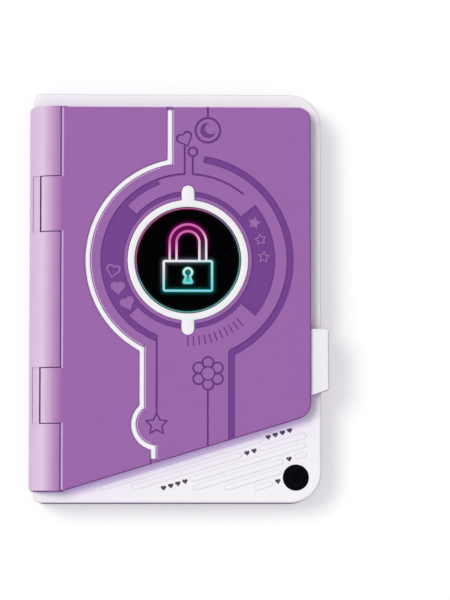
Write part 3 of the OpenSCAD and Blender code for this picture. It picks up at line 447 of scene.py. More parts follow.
def softened(node, width, corner=0.0, segments=3, angle=40):
    """A copy of a CAD node's mesh with its edges and, if asked, its upright corners rounded."""
    bm = bmesh.new()
    bm.from_mesh(NODES[node].data)
    bm.transform(Matrix.Scale(1 / MM, 4))  # bevels go wrong at metre scale
    bmesh.ops.remove_doubles(bm, verts=bm.verts, dist=SAME / MM)
    bmesh.ops.dissolve_limit(
        bm, angle_limit=math.radians(0.6), verts=bm.verts, edges=bm.edges, use_dissolve_boundaries=False
    )

    def sharp():
        return [e for e in bm.edges if len(e.link_faces) == 2 and e.calc_face_angle(0) > math.radians(angle)]

    upright = [e for e in sharp() if corner and (e.verts[0].co - e.verts[1].co).xy.length < 1e-3]
    for edge in upright:
        beside = [e.calc_length() for v in edge.verts for e in v.link_edges if e is not edge]
        bmesh.ops.bevel(
            bm, geom=[edge], offset=min(corner / MM, 0.45 * min(beside)), segments=4, profile=0.5,
            affect="EDGES", clamp_overlap=False,
        )
    bmesh.ops.bevel(
        bm, geom=sharp(), offset=width / MM, segments=segments, profile=0.5, affect="EDGES",
        clamp_overlap=False,
    )
    bm.normal_update()
    bmesh.ops.triangulate(bm, faces=[f for f in bm.faces if len(f.verts) > 4])
    bm.transform(Matrix.Scale(MM, 4))
    mesh = held(bm, node)
    smooth_by_angle(mesh)
    return mesh


def islands(node):
    """The box of each loose solid in a CAD node, as pairs of corners."""
    bm = merged(node)
    left, found = set(bm.verts), []
    while left:
        front = [left.pop()]
        group = list(front)
        while front:
            for edge in front.pop().link_edges:
                for v in edge.verts:
                    if v in left:
                        left.remove(v)
                        front.append(v)
                        group.append(v)
        points = np.array([v.co[:] for v in group])
        found.append((Vector(points.min(0)), Vector(points.max(0))))
    bm.free()
    return sorted(found, key=lambda b: (round(b[0].y, 4), round(b[0].x, 4)))


def turned(profile, sides=48, name="turned"):
    """A closed solid turned about Z from (radius, height) points, from the axis to the axis."""
    bm = bmesh.new()
    rings = []
    for r, z in profile:
        if r < 1e-7:
            rings.append([bm.verts.new((0, 0, z))])
        else:
            rings.append([
                bm.verts.new((r * math.cos(math.tau * k / sides), r * math.sin(math.tau * k / sides), z))
                for k in range(sides)
            ])
    for a, b in zip(rings, rings[1:]):
        for k in range(sides):
            n = (k + 1) % sides
            corners = [a[k % len(a)], a[n % len(a)], b[n % len(b)], b[k % len(b)]]
            unique = list(dict.fromkeys(corners))
            if len(unique) > 2:
                bm.faces.new(unique)
    bmesh.ops.recalc_face_normals(bm, faces=bm.faces)
    return held(bm, name)


# Camera and studio


class DIARY_OT_camera(bpy.types.Operator):
    """Aim the camera at the cover from the photograph's side"""

    bl_idname = "diary.camera"
    bl_label = "Camera"

    def execute(self, context):
        view = sizes()
        data = bpy.data.cameras.new("Camera")
        data.sensor_fit = "VERTICAL"
        data.sensor_height = 36
        data.lens = 36 * view.camera_distance / view.view_height
        data.clip_start = 0.01
        data.clip_end = 20
        camera = placed("Camera", data)
        back = Vector((-math.tan(view.camera_left), -math.tan(view.camera_low), 1)).normalized()
        right = Vector((0, 1, 0)).cross(back).normalized()
        up = back.cross(right)
        aim = Vector((LOCK.x + view.aim_right, LOCK.y - view.aim_low, top_of("lock_ring")))
        turn = Matrix((right, up, back)).transposed().to_4x4()
        camera.matrix_world = Matrix.Translation(aim + back * view.camera_distance) @ turn
        context.scene.camera = camera
        return {"FINISHED"}


class DIARY_OT_stage(bpy.types.Operator):
    """Lay the pale floor and hang the studio's lights"""

    bl_idname = "diary.stage"
    bl_label = "Floor and lights"

    def execute(self, context):
        mesh = bpy.data.meshes.new("floor")
        reach, drop = 6.0, -LIFT
        corners = ((-reach, -reach), (reach, -reach), (reach, reach), (-reach, reach))
        mesh.from_pydata([(x, y, drop) for x, y in corners], [], [(0, 1, 2, 3)])
        floor = placed("floor", mesh)
        paper = Finish("studio paper", roughness=0.9)
        paper.set(Base_Color=paper.mottle((0.64, 0.64, 0.64), 60, 0.01))
        path = paper.add("ShaderNodeLightPath")
        seen = paper.most(*(path.outputs[f"Is {ray} Ray"] for ray in ("Camera", "Glossy", "Transmission")))
        paper.set(Emission_Color=(1, 1, 1), Emission_Strength=paper.both(seen, 0.41))
        mesh.materials.append(paper.material)

        world = bpy.data.worlds.new("studio")
        context.scene.world = world
        world.use_nodes = True
        nodes, links = world.node_tree.nodes, world.node_tree.links
        sky = nodes["Background"]
        path = nodes.new("ShaderNodeLightPath")
        most = nodes.new("ShaderNodeMath")
        most.operation = "MAXIMUM"
        strength = nodes.new("ShaderNodeMapRange")
        strength.inputs["To Min"].default_value = 0.57
        strength.inputs["To Max"].default_value = 1.0
        links.new(path.outputs["Is Camera Ray"], most.inputs[0])
        links.new(path.outputs["Is Transmission Ray"], most.inputs[1])
        links.new(most.outputs[0], strength.inputs["Value"])
        links.new(strength.outputs["Result"], sky.inputs["Strength"])
        shade = nodes.new("ShaderNodeMix")
        shade.data_type = "RGBA"
        shade.inputs[6].default_value = (0.985, 0.955, 1.03, 1)
        shade.inputs[7].default_value = (1, 1, 1, 1)
        links.new(most.outputs[0], shade.inputs[0])
        links.new(shade.outputs[2], sky.inputs["Color"])

        for name, where, power, softness, colour in (
            ("key", (-0.68, 0.34, 1.3), 1.5, 26, (1.0, 1.03, 0.94)),
            ("fill", (0.7, -0.6, 1.2), 0.12, 40, (1.0, 1.0, 1.0)),
        ):
            lamp = bpy.data.lights.new(name, "SUN")
            lamp.energy = power
            lamp.color = colour
            lamp.angle = math.radians(softness)
            shown = placed(name, lamp)
            shown.rotation_euler = Vector(where).to_track_quat("Z", "Y").to_euler()
        context.scene.view_settings.view_transform = "Standard"
        return {"FINISHED"}


# Cover and spine


def spine_to_cover(finish):
    """Colour across the spine, from lilac at its outside to the cover's purple: partly the spine's own
    lilac, partly a painted highlight of the light on the rounded spine and hinge arms.
    """
    c = colours()
    left = CAD_BOX[0][0]
    across = finish.ramp_value(finish.axis("X"), left, left + 20 * MM, smooth=False)
    # lilac, a painted highlight band, then the cover's purple, by X alone, on the spine and on the cover's
    # hinge arms
    stops = [(0.0, c.spine), (0.36, c.spine_highlight), (0.64, c.spine_pink), (0.88, c.cover)]
    return finish.bands(across, stops)


def hinge_gaps(finish):
    """Where a face stands at the spine's ends, the arms' ends or the gap to the cover: the faces that take
    painted shade.
    """
    ends = finish.ramp_value(finish.maths("ABSOLUTE", finish.facing("Y")), 0.4, 0.65)
    inner = finish.above(finish.axis("X"), CAD_BOX[0][0] + sizes().ledge)
    return finish.most(ends, finish.both(inner, finish.ramp_value(finish.facing("X"), 0.6, 0.85)))


def arm_spans():
    """Where the cover's hinge arms lie along the spine, as pairs of lowest and highest Y."""
    mesh = NODES["cover_shell"].data
    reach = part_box("spine_cover")[1][0] - 3 * MM
    spans = []
    for face in mesh.polygons:
        points = [mesh.vertices[k].co for k in face.vertices]
        if max(p.x for p in points) < reach:
            spans.append((min(p.y for p in points), max(p.y for p in points)))
    joined = []
    for low, high in sorted(spans):
        if joined and low < joined[-1][1] + 2 * MM:
            joined[-1] = (joined[-1][0], max(high, joined[-1][1]))
        else:
            joined.append((low, high))
    return joined


def plate_edge(spans):
    """Where the cover's top face begins beside the spine."""
    top = top_of("cover_shell")
    return min(
        v.co.x for v in NODES["cover_shell"].data.vertices
        if v.co.z > top - 0.05 * MM and all(not a - 2 * MM < v.co.y < b + 2 * MM for a, b in spans)
    )


class DIARY_OT_cover(bpy.types.Operator):
    """Colour the cover, its sunk pattern and its inner panel"""

    bl_idname = "diary.cover"
    bl_label = "Cover"

    def execute(self, context):
        c, s = colours(), sizes()
        finish = Finish("cover plastic", Specular_IOR_Level=0.22)
        top = top_of("cover_shell")
        z, down = finish.axis("Z"), finish.both(finish.facing("Y"), -1)
        plate = finish.above(finish.axis("X"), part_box("spine_cover")[1][0] + 1.5 * MM)

        plain = finish.mottle(spine_to_cover(finish), 9.0, 0.02)
        deepest, shallowest = top - 0.55 * MM, top - 0.2 * MM
        level = finish.above(finish.facing("Z"), 0.95)
        sunk = finish.both(plate, finish.above(z, deepest), finish.below(z, shallowest), level)
        tone = finish.mix(sunk, plain, finish.mottle(c.motif, 4.0, 0.04))
        # painted highlight: the cover's head edge and its edge beside the spine turn to the spine's pale
        # lilac
        head = finish.ramp_value(finish.facing("Y"), 0.3, 0.6)
        head = finish.both(plate, head, finish.above(z, top - 1.5 * MM))
        tone = finish.mix(finish.most(finish.both(self.crest_highlight(finish), 0.6), head), tone, c.spine)
        # painted shade: faces turned to the fore and foot sides, away from the light, turn dark purple
        fore = finish.most(finish.facing("X"), down)
        tone = finish.mix(finish.both(plate, finish.ramp_value(fore, 0.35, 0.8)), tone, c.rim)
        # painted shade in the gaps round the hinge arms and on the arms' ends
        gaps = finish.both(finish.other(plate), hinge_gaps(finish))
        finish.set(Base_Color=finish.mix(gaps, tone, c.gap))

        # painted light: the cover's foot wall glows purple onto the case below it, and the gaps glow dimly
        foot = finish.both(plate, finish.ramp_value(down, 0.5, 0.9), finish.below(z, top - 3 * MM))
        glow = finish.most(finish.both(gaps, s.painted_gap_glow), finish.both(foot, s.painted_foot_glow))
        finish.set(Emission_Color=finish.mix(foot, c.rim, c.painted_edge_glow), Emission_Strength=glow)
        finish.uneven_gloss(0.4, 0.5, 2.5)
        finish.grain(0.22, 0.004)
        dress(finish.material, "cover_shell")
        self.edging(c, s, top)
        dress(moulded("liner white", c.case, 0.45, 0.6, grain=0.35, depth=0.02, mottle=0.012), "cover_liner")
        return {"FINISHED"}

    def crest_highlight(self, finish):
        """Where the cover's top face begins beside the spine, between the hinge arms: the band that takes a
        painted highlight.
        """
        spans = arm_spans()
        start = plate_edge(spans)
        crest_highlight = finish.other(finish.ramp_value(finish.axis("X"), start + 0.25 * MM, start + 0.55 * MM))
        for low, high in spans:
            across = finish.maths("ABSOLUTE", finish.away("Y", (low + high) / 2))
            crest_highlight = finish.both(crest_highlight, finish.above(across, (high - low) / 2))
        return finish.both(crest_highlight, finish.above(finish.facing("Z"), 0.6))

    def edging(self, c, s, top):
        """Round edges of the sunk lines and of the raised marks in the deep band, and a painted highlight
        beside the light strip.
        """
        runs = [(run, closed) for run, closed in rims("cover_shell", top)[0] if len(run) > 4]
        marks = [item for item in runs if self.is_mark(item[0])]
        lines = [item for item in runs if not self.is_mark(item[0])]
        if not marks or not lines:
            raise RuntimeError("the cover has no sunk lines or no marks in its band")
        # painted highlight: a pale bead beside the light strip's fore edge
        light = fore_edge("light_strip", s.glint_off)
        for name, paths, radius, colour in (
            # the sunk lines' own purple, widened; along the light strip's and the ring's grooves it also
            # paints their shade
            ("pattern_edging", lines, s.edging, c.motif),
            ("mark_edging", marks, 1.5 * s.edging, c.cover),
            ("light_edging", light, s.edging, c.spine_highlight),
        ):
            mesh = bead(paths, radius, name)
            for v in mesh.vertices:
                v.co.z = top + (v.co.z - top - radius) * s.edging_height + LIFT
            mesh.update()
            plastic = moulded(name.replace("_", " "), colour, 0.4, 0.5, Specular_IOR_Level=0.22)
            piece(name, mesh, "cover", plastic, "cover_purple")

    def is_mark(self, run):
        """Whether a run of points goes round one of the hearts and stars in the deep band."""
        low = Vector((min(p.x for p in run), min(p.y for p in run)))
        high = Vector((max(p.x for p in run), max(p.y for p in run)))
        off = ((low + high) / 2 - LOCK.xy).length
        return max(high - low) < 8 * MM and abs(off - sizes().band_middle) < 1.2 * MM


class DIARY_OT_spine(bpy.types.Operator):
    """Colour the rounded spine and the hinge pins"""

    bl_idname = "diary.spine"
    bl_label = "Spine and pins"

    def execute(self, context):
        c, s = colours(), sizes()
        finish = Finish("spine plastic", Specular_IOR_Level=0.25)
        tone = finish.mottle(spine_to_cover(finish), 9.0, 0.02)
        # painted light: ledge walls that face away from the light are tinted pale to lift their shade
        outside = finish.below(finish.axis("X"), CAD_BOX[0][0] + s.ledge)
        ledge = finish.both(outside, finish.ramp_value(finish.facing("X"), 0.2, 0.6))
        tone = finish.mix(ledge, tone, c.ledge)
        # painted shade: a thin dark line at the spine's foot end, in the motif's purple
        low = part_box("spine_cover")[0][1]
        foot = finish.other(finish.ramp_value(finish.axis("Y"), low + 0.45 * MM, low + 0.85 * MM))
        tone = finish.mix(foot, tone, c.motif)
        # painted shade in the gaps and on the spine's end faces
        gaps = hinge_gaps(finish)
        finish.set(Base_Color=finish.mix(gaps, tone, c.gap))
        # painted light: the gaps give off a dim purple glow
        finish.set(Emission_Color=c.rim, Emission_Strength=finish.both(gaps, s.painted_gap_glow))
        finish.uneven_gloss(0.36, 0.46, 2.5)
        finish.grain(0.22, 0.004)
        dress(finish.material, "spine_cover")
        pin = moulded("burnished pin", tint(66, 44, 84), 0.3, 0.45, Metallic=1.0)
        dress(pin, "upper_hinge_pin", "lower_hinge_pin")
        return {"FINISHED"}


def steel():
    """Brushed steel shared by the screws, cans and lock parts."""
    name = "brushed steel"
    if name in bpy.data.materials:
        return bpy.data.materials[name]
    finish = Finish(name, Metallic=1.0)
    stretch = finish.add("ShaderNodeMapping", {"Vector": finish.place, "Scale": (1, 12, 1)})
    lines = finish.noise(0.6, 3.0, stretch.outputs["Vector"])
    finish.set(Base_Color=finish.mix(lines, (0.52, 0.53, 0.55), (0.68, 0.69, 0.71)))
    finish.set(Roughness=finish.ramp_value_to(lines, 0.28, 0.42))
    return finish.material


# Case


def chained(beside):
    """Runs of points that follow the links between vertices, each with whether it closes on itself."""
    left = {v: list(others) for v, others in beside.items()}
    runs = []
    for start in sorted(left, key=lambda v: (len(left[v]) == 2, v.co.y, v.co.x)):
        while left[start]:
            run = [start]
            while left[run[-1]] and (len(run) == 1 or run[-1] is not start):
                ahead = left[run[-1]].pop()
                left[ahead].remove(run[-1])
                run.append(ahead)
            closed = run[-1] is start
            runs.append(([v.co.copy() for v in (run[:-1] if closed else run)], closed))
    return runs


def rims(node, z):
    """Runs of points on a flat face's edges at height z, as those of holes and those of raised ribs."""
    bm = merged(node)
    links = {True: {}, False: {}}
    for edge in bm.edges:
        if len(edge.link_faces) != 2 or any(abs(v.co.z - z) > LEVEL for v in edge.verts):
            continue
        walls = [f for f in edge.link_faces if abs(f.normal.z) < 0.1]
        if len(walls) == 1:
            raised = walls[0].calc_center_median().z > z
            for v in edge.verts:
                links[raised].setdefault(v, []).append(edge.other_vert(v))
    holes, ribs = chained(links[False]), chained(links[True])
    bm.free()
    return holes, ribs


def bead(runs, radius, name):
    """One round bead along each run of points, given with whether it closes on itself."""
    path = bpy.data.curves.new(name, "CURVE")
    path.dimensions = "3D"
    path.bevel_depth = radius
    path.bevel_resolution = 2
    path.use_fill_caps = True
    for run, closed in runs:
        spline = path.splines.new("POLY")
        spline.points.add(len(run) - 1)
        for point, place in zip(spline.points, run):
            point.co = (*place, 1)
        spline.use_cyclic_u = closed
    mesh = evaluated(placed(name, path))
    smooth_by_angle(mesh)
    return mesh


def fore_edge(node, off):
    """Runs beside a white light guide's edge where it faces the fore side, at the cover's top."""
    bm = merged(node)
    crown = max(v.co.z for v in bm.verts)
    beside, outward = {}, {}
    for edge in bm.edges:
        walls = [f for f in edge.link_faces if abs(f.normal.z) < 0.1]
        if len(walls) != 1 or walls[0].normal.x < 0.3 or any(crown - v.co.z > LEVEL for v in edge.verts):
            continue
        for v in edge.verts:
            beside.setdefault(v, []).append(edge.other_vert(v))
            outward[v] = outward.get(v, Vector()) + walls[0].normal
    level = top_of("cover_shell")
    for v, normal in outward.items():
        v.co = (*(v.co + normal.normalized() * off).xy, level)
    runs = chained(beside)
    bm.free()
    return runs


def plugs(runs, z, thick, name):
    """A thin closed plate inside each run of points."""
    bm = bmesh.new()
    for run in runs:
        foot = [bm.verts.new((p.x, p.y, z)) for p in run]
        head = [bm.verts.new((p.x, p.y, z + thick)) for p in run]
        bm.faces.new(foot)
        bm.faces.new(head)
        for k in range(len(run)):
            n = (k + 1) % len(run)
            bm.faces.new([foot[k], foot[n], head[n], head[k]])
    bmesh.ops.recalc_face_normals(bm, faces=bm.faces)
    bmesh.ops.triangulate(bm, faces=bm.faces)
    return held(bm, name)


class DIARY_OT_case(bpy.types.Operator):
    """Colour the white front case and the purple rear cover, with painted shade on the case's walls and
    round the ribs
    """

    bl_idname = "diary.case"
    bl_label = "Case"

    def execute(self, context):
        c, s = colours(), sizes()
        white = Finish("case white", Specular_IOR_Level=0.3)
        # painted shade: faces that turn from the top face grow grey
        wall = white.other(white.ramp_value(white.facing("Z"), 0.55, 0.85))
        white.set(Base_Color=white.mix(wall, white.mottle(c.case, 6.0, 0.012), c.case_wall_shade))
        white.uneven_gloss(0.32, 0.42)
        white.grain(0.3, 0.004)
        dress(white.material, "front_case")
        dress(moulded("rear purple", c.shell, 0.42, 0.55, grain=0.4, depth=0.03), "rear_cover")

        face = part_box("lens_window")[1][2]
        levels = [v.co.z for v in NODES["front_case"].data.vertices if v.co.z > face - 1 * MM]
        heights = sorted(set(round(z, 6) for z in levels))
        face = next(z for z in heights if rims("front_case", z)[1])
        holes, ribs = rims("front_case", face)
        hearts = [
            run for run, closed in holes
            if closed and max(p.x for p in run) - min(p.x for p in run) < s.small_hole
        ]
        if not ribs or not hearts:
            raise RuntimeError("the front case has no ribs or no small holes")
        # painted shade: grey beads round the ribs' edges
        edging = Finish("rib edging", roughness=0.5, Specular_IOR_Level=0.2)
        edging.set(Base_Color=edging.mottle(c.case_wall_shade, 2.0, 0.04))
        piece("rib_edging", bead(ribs, s.bead, "rib_edging"), "case", edging.material, "case_white")
        gauze = Finish("grille gauze", roughness=0.8, Specular_IOR_Level=0.1)
        gauze.set(Base_Color=gauze.mottle(c.grille, 0.4, 0.25))
        mesh = plugs(hearts, face - s.gauze_depth, 0.2 * MM, "grille_gauze")
        piece("grille_gauze", mesh, "case", gauze.material, "smoked_window")
        return {"FINISHED"}


# Badge


def arc(cx, cy, r, start, end, steps=20):
    """Points in mm along an arc, its angles in degrees."""
    turns = np.radians(np.linspace(start, end, steps + 1))
    return [(cx + r * math.cos(t), cy + r * math.sin(t)) for t in turns]


def bow_path(r):
    """One of the shackle's two lines, in mm about the lock's centre."""
    return [(-r, -0.4), *arc(0, 9.1, r, 180, 0, 40), (r, -0.4)]


def body_path(half_w=12.45, top=-0.46, foot=-15.8, r=0.8):
    """The line round the padlock's body, in mm about the lock's centre."""
    return [
        *arc(half_w - r, top - r, r, 90, 0, 6), *arc(half_w - r, foot + r, r, 0, -90, 6),
        *arc(r - half_w, foot + r, r, -90, -180, 6), *arc(r - half_w, top - r, r, 180, 90, 6),
    ]


def keyhole_path(r=2.15, drop=-6.3, foot=-11.75, half_w=2.2, cut=0.4):
    """The line round the keyhole, in mm about the lock's centre."""
    return [
        *arc(0, drop, r, 242, -62, 28), (half_w, foot + cut), (half_w - cut, foot), (cut - half_w, foot),
        (-half_w, foot + cut),
    ]


def distance_to(path, x, y, closed):
    """Distances in mm from points to a path."""
    path = np.array(path)
    ends = np.roll(path, -1, axis=0)
    if not closed:
        path, ends = path[:-1], ends[:-1]
    nearest = np.full(len(x), 1e9)
    for (ax, ay), (bx, by) in zip(path, ends):
        dx, dy = bx - ax, by - ay
        t = np.clip(((x - ax) * dx + (y - ay) * dy) / max(dx * dx + dy * dy, 1e-9), 0, 1)
        nearest = np.minimum(nearest, np.hypot(x - ax - t * dx, y - ay - t * dy))
    return nearest


def within(path, x, y):
    """Which points lie inside a closed path."""
    odd = np.zeros(len(x), bool)
    for (ax, ay), (bx, by) in zip(path, path[1:] + path[:1]):
        if ay != by:
            odd ^= ((ay > y) != (by > y)) & (x < (bx - ax) * (y - ay) / (by - ay) + ax)
    return odd


def rise(value, low, high):
    """A value's smooth climb from 0 at low to 1 at high, as a column."""
    t = np.clip((value - low) / (high - low), 0, 1)
    return (t * t * (3 - 2 * t))[:, None]


def line_light(x, y, kind):
    """Light of the padlock's lines at points in mm: pink above, white between, cyan below."""
    c = colours()
    white = np.array(c.line_white)
    if kind == "bow":
        share = rise(y - 0.45 * x, -1, 15)
        return white * (1 - share) + np.array(c.glow_pink) * share
    if kind == "keyhole":
        share = rise(-y, 4.5, 10.5)
        return np.array(c.keyhole) * (1 - share) + np.array(c.glow_cyan) * share
    share = rise(-(y - 0.5 * x), 1, 12)
    return white * (1 - share) + np.array(c.glow_cyan) * share


def window_mesh(radius, z0, z1):
    """The window's disc, its light held in a colour attribute."""
    rings, sides = 120, 360
    s, c = sizes(), colours()
    reach = s.glow_reach / MM
    radii = np.linspace(0, radius / MM, rings + 1)[1:]
    angles = np.arange(sides) * math.tau / sides
    x = np.concatenate([[0], np.outer(radii, np.cos(angles)).ravel()])
    y = np.concatenate([[0], np.outer(radii, np.sin(angles)).ravel()])
    magenta, teal = np.array(c.deep_magenta), np.array(c.deep_teal)
    outer, inner = bow_path(s.bow / MM), bow_path(s.bow_inner / MM)
    body, keyhole = body_path(), keyhole_path()

    def halo(path, light, closed=False, spread=1.0):
        """A light that fades away from a line."""
        off = np.maximum(distance_to(path, x, y, closed) - s.line / MM / 2, 0)
        return light * np.exp(-((off / (reach * spread)) ** 1.3))[:, None]

    between = (within(outer, x, y) & ~within(inner, x, y) & (y > -0.4))[:, None]
    low = rise(0.5 * x - y, -1, 8)
    pink = magenta * (0.15 + 0.85 * rise(y - 0.45 * x, -2, 10))
    light = np.zeros((len(x), 3))
    for layer in (
        halo(outer, pink),
        halo(inner, pink, spread=0.8),
        halo(body, np.array(c.haze) * (1 - low) + teal * low, True),
        halo(keyhole, teal, True, 0.7),
        between * magenta * rise(y - 0.35 * x, 1.5, 11),
        between * np.array(c.bow_haze) * rise(x, 1, 7) * (1 - rise(y, 3, 12)),
        within(keyhole, x, y)[:, None] * (teal * 1.6 + np.array(c.glow_teal) * 0.8 * rise(-y, 7.5, 10.5)),
    ):
        light = np.maximum(light, layer)
    edge = radius / MM - np.hypot(x, y)
    light += (np.exp(-edge / 0.35) * 0.04)[:, None] * ring_glow(x, y)

    verts = [(a * MM + LOCK.x, b * MM + LOCK.y, z1) for a, b in zip(x, y)]
    faces = [(0, 1 + k, 1 + (k + 1) % sides) for k in range(sides)]
    for i in range(rings - 1):
        a, b = 1 + i * sides, 1 + (i + 1) * sides
        faces += [(a + k, b + k, b + (k + 1) % sides, a + (k + 1) % sides) for k in range(sides)]
    rim = 1 + (rings - 1) * sides
    base = len(verts)
    verts += [(verts[rim + k][0], verts[rim + k][1], z0) for k in range(sides)]
    faces += [(rim + k, base + k, base + (k + 1) % sides, rim + (k + 1) % sides) for k in range(sides)]
    verts.append((LOCK.x, LOCK.y, z0))
    faces += [(base + (k + 1) % sides, base + k, len(verts) - 1) for k in range(sides)]
    mesh = bpy.data.meshes.new("badge window")
    mesh.from_pydata(verts, [], faces)
    hold_colour(mesh, np.concatenate([light, np.zeros((len(verts) - len(light), 3))]))
    return mesh


def hold_colour(mesh, light):
    """Keeps a colour for each point in the mesh's attribute glow."""
    colour = np.ones((len(light), 4), np.float32)
    colour[:, :3] = np.clip(light, 0, 1)
    glow = mesh.color_attributes.new("glow", "FLOAT_COLOR", "POINT")
    glow.data.foreach_set("color", colour.ravel())


def ring_stops():
    """Colours round the thin glowing ring, by share of a turn from its spine side."""
    c = colours()
    return [
        (0.0, c.ring_pink), (0.04, c.glow_lavender), (0.083, c.glow_teal), (0.52, c.glow_teal),
        (0.583, c.glow_lavender), (0.64, c.glow_lavender), (0.736, c.ring_pink), (1.0, c.ring_pink),
    ]


def ring_glow(x, y):
    """The glowing ring's colour in the direction of each point."""
    turn = np.arctan2(y, x) / math.tau + 0.5
    places, tones = zip(*ring_stops())
    return np.stack([np.interp(turn, places, [tone[k] for tone in tones]) for k in range(3)], axis=1)


def guide_white(name, glow):
    """White of a light guide, with a faint emission as painted light, which lifts the shade of a guide sunk
    in its groove.
    """
    white = Finish(name, Specular_IOR_Level=0.3)
    tone = white.mottle(colours().light_guide, 5.0, 0.01)
    white.set(Base_Color=tone, Emission_Color=tone, Emission_Strength=glow)
    white.uneven_gloss(0.3, 0.4)
    return white.material


class DIARY_OT_badge(bpy.types.Operator):
    """Make the lit ring, the glowing ring, the window and its padlock"""

    bl_idname = "diary.badge"
    bl_label = "Lock badge"

    def execute(self, context):
        c, s = colours(), sizes()
        ring = guide_white("badge ring white", 0.0)
        mesh = softened("lock_ring", s.ring_edge, s.corner)
        piece("badge_ring", mesh, "cover", ring, "light_white", "lock_ring")

        halo = Finish("halo light", roughness=0.4)
        turn = halo.maths("ARCTAN2", halo.away("Y", LOCK.y), halo.away("X", LOCK.x))
        light = halo.bands(halo.ramp_value(turn, -math.pi, math.pi, smooth=False), ring_stops())
        lo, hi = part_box("halo_ring")
        core = (hi[0] - lo[0]) / 2 - s.ring_core
        core = halo.maths("ABSOLUTE", halo.maths("SUBTRACT", halo.out_from(LOCK), core))
        lit = halo.other(halo.ramp_value(core, 0.1 * MM, 0.34 * MM))
        soft = halo.mix(lit, c.rim, halo.mottle(light, 2.0, 0.1))
        halo.set(Base_Color=(0.01, 0.006, 0.012), Emission_Color=soft)
        halo.set(Emission_Strength=halo.ramp_value_to(lit, 0.05, 0.9))
        dress(halo.material, "halo_ring")

        lo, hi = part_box("lock_window")
        glass = Finish("smoked window", roughness=0.3, Specular_IOR_Level=0.0)
        glow = glass.add("ShaderNodeVertexColor", layer_name="glow").outputs["Color"]
        glass.set(Base_Color=glass.mix(glass.noise(8), (0.0008, 0.0006, 0.001), (0.0012, 0.001, 0.0016)))
        glass.set(Emission_Color=glow, Emission_Strength=s.glow_power)
        face = hi[2] - 2 * LIFT
        mesh = window_mesh((hi[0] - lo[0]) / 2, lo[2], face)
        piece("badge_window", mesh, "cover", glass.material, "smoked_window", "lock_window")
        self.padlock(s, face)
        dress(moulded("board green", tint(28, 92, 58), 0.4, 0.5), "led_board")
        dress(moulded("lamp ivory", tint(235, 228, 200), 0.2, 0.3), "badge_leds")
        return {"FINISHED"}

    def padlock(self, s, z):
        """The padlock's lines as flattened light tubes, their light held in a colour attribute."""
        bm = bmesh.new()
        glow = bm.verts.layers.float_color.new("glow")
        for kind, path, closed in (
            ("bow", bow_path(s.bow / MM), False), ("bow", bow_path(s.bow_inner / MM), False),
            ("body", body_path(), True), ("keyhole", keyhole_path(), True),
        ):
            tube = bead([([(x * MM, y * MM, 0) for x, y in path], closed)], s.line / 2, kind)
            start = len(bm.verts)
            bm.from_mesh(tube)
            bm.verts.ensure_lookup_table()
            fresh = bm.verts[start:]
            x, y = (np.array([v.co[k] for v in fresh]) / MM for k in (0, 1))
            for v, light in zip(fresh, line_light(x, y, kind)):
                v[glow] = (*light, 1)
                v.co = (v.co.x + LOCK.x, v.co.y + LOCK.y, z + v.co.z * 0.25)
        mesh = held(bm, "badge_padlock")
        smooth_by_angle(mesh)
        lit = Finish("padlock light", roughness=0.4, Specular_IOR_Level=0.0)
        tone = lit.mottle(lit.add("ShaderNodeVertexColor", layer_name="glow").outputs["Color"], 1.5, 0.04)
        crown = lit.ramp_value(lit.facing("Z"), 0.55, 0.95)
        lit.set(Base_Color=(0.01, 0.01, 0.01), Emission_Color=tone)
        lit.set(Emission_Strength=lit.both(lit.ramp_value_to(crown, 0.45, 1.0), s.glow_power))
        piece("badge_padlock", mesh, "cover", lit.material, "glow_pink", "padlock_guide")


class DIARY_OT_light_strip(bpy.types.Operator):
    """Make the white light strip with its rounded edges"""

    bl_idname = "diary.light_strip"
    bl_label = "Light strip"

    def execute(self, context):
        s = sizes()
        mesh = softened("light_strip", s.strip_edge)
        # painted light: the strip glows faintly against the shade of its groove
        white = guide_white("strip white", s.painted_strip_glow)
        piece("edge_light_strip", mesh, "cover", white, "light_white", "light_strip")
        return {"FINISHED"}


class DIARY_OT_tab(bpy.types.Operator):
    """Colour the thumb tab"""

    bl_idname = "diary.tab"
    bl_label = "Thumb tab"

    def execute(self, context):
        c = colours()
        white = Finish("tab white", Specular_IOR_Level=0.3)
        # painted shade: the tab's fore edge turns grey and its foot edge purple
        fore = white.ramp_value(white.facing("X"), 0.4, 0.8)
        foot = white.ramp_value(white.both(white.facing("Y"), -1), 0.4, 0.8)
        tone = white.mix(fore, white.mottle(c.tab, 5.0, 0.012), c.tab_fore_shade)
        white.set(Base_Color=white.mix(foot, tone, c.motif))
        white.uneven_gloss(0.32, 0.42)
        white.grain(0.3, 0.004)
        dress(white.material, "tab_cap")
        return {"FINISHED"}


class DIARY_OT_lens(bpy.types.Operator):
    """Finish the lens window and the camera behind it"""

    bl_idname = "diary.lens"
    bl_label = "Lens"

    def execute(self, context):
        glass = Finish("lens black", roughness=0.12, Specular_IOR_Level=0.03)
        eye = glass.ramp_value(glass.out_from(middle("lens_window")), 2.2 * MM, 3.0 * MM)
        glass.set(Base_Color=glass.mix(eye, (0.0015, 0.001, 0.003), (0.003, 0.002, 0.005)))
        dress(glass.material, "lens_window")
        dress(moulded("camera black", tint(32, 32, 36), 0.4, 0.55), "camera_module")
        return {"FINISHED"}


# Inside


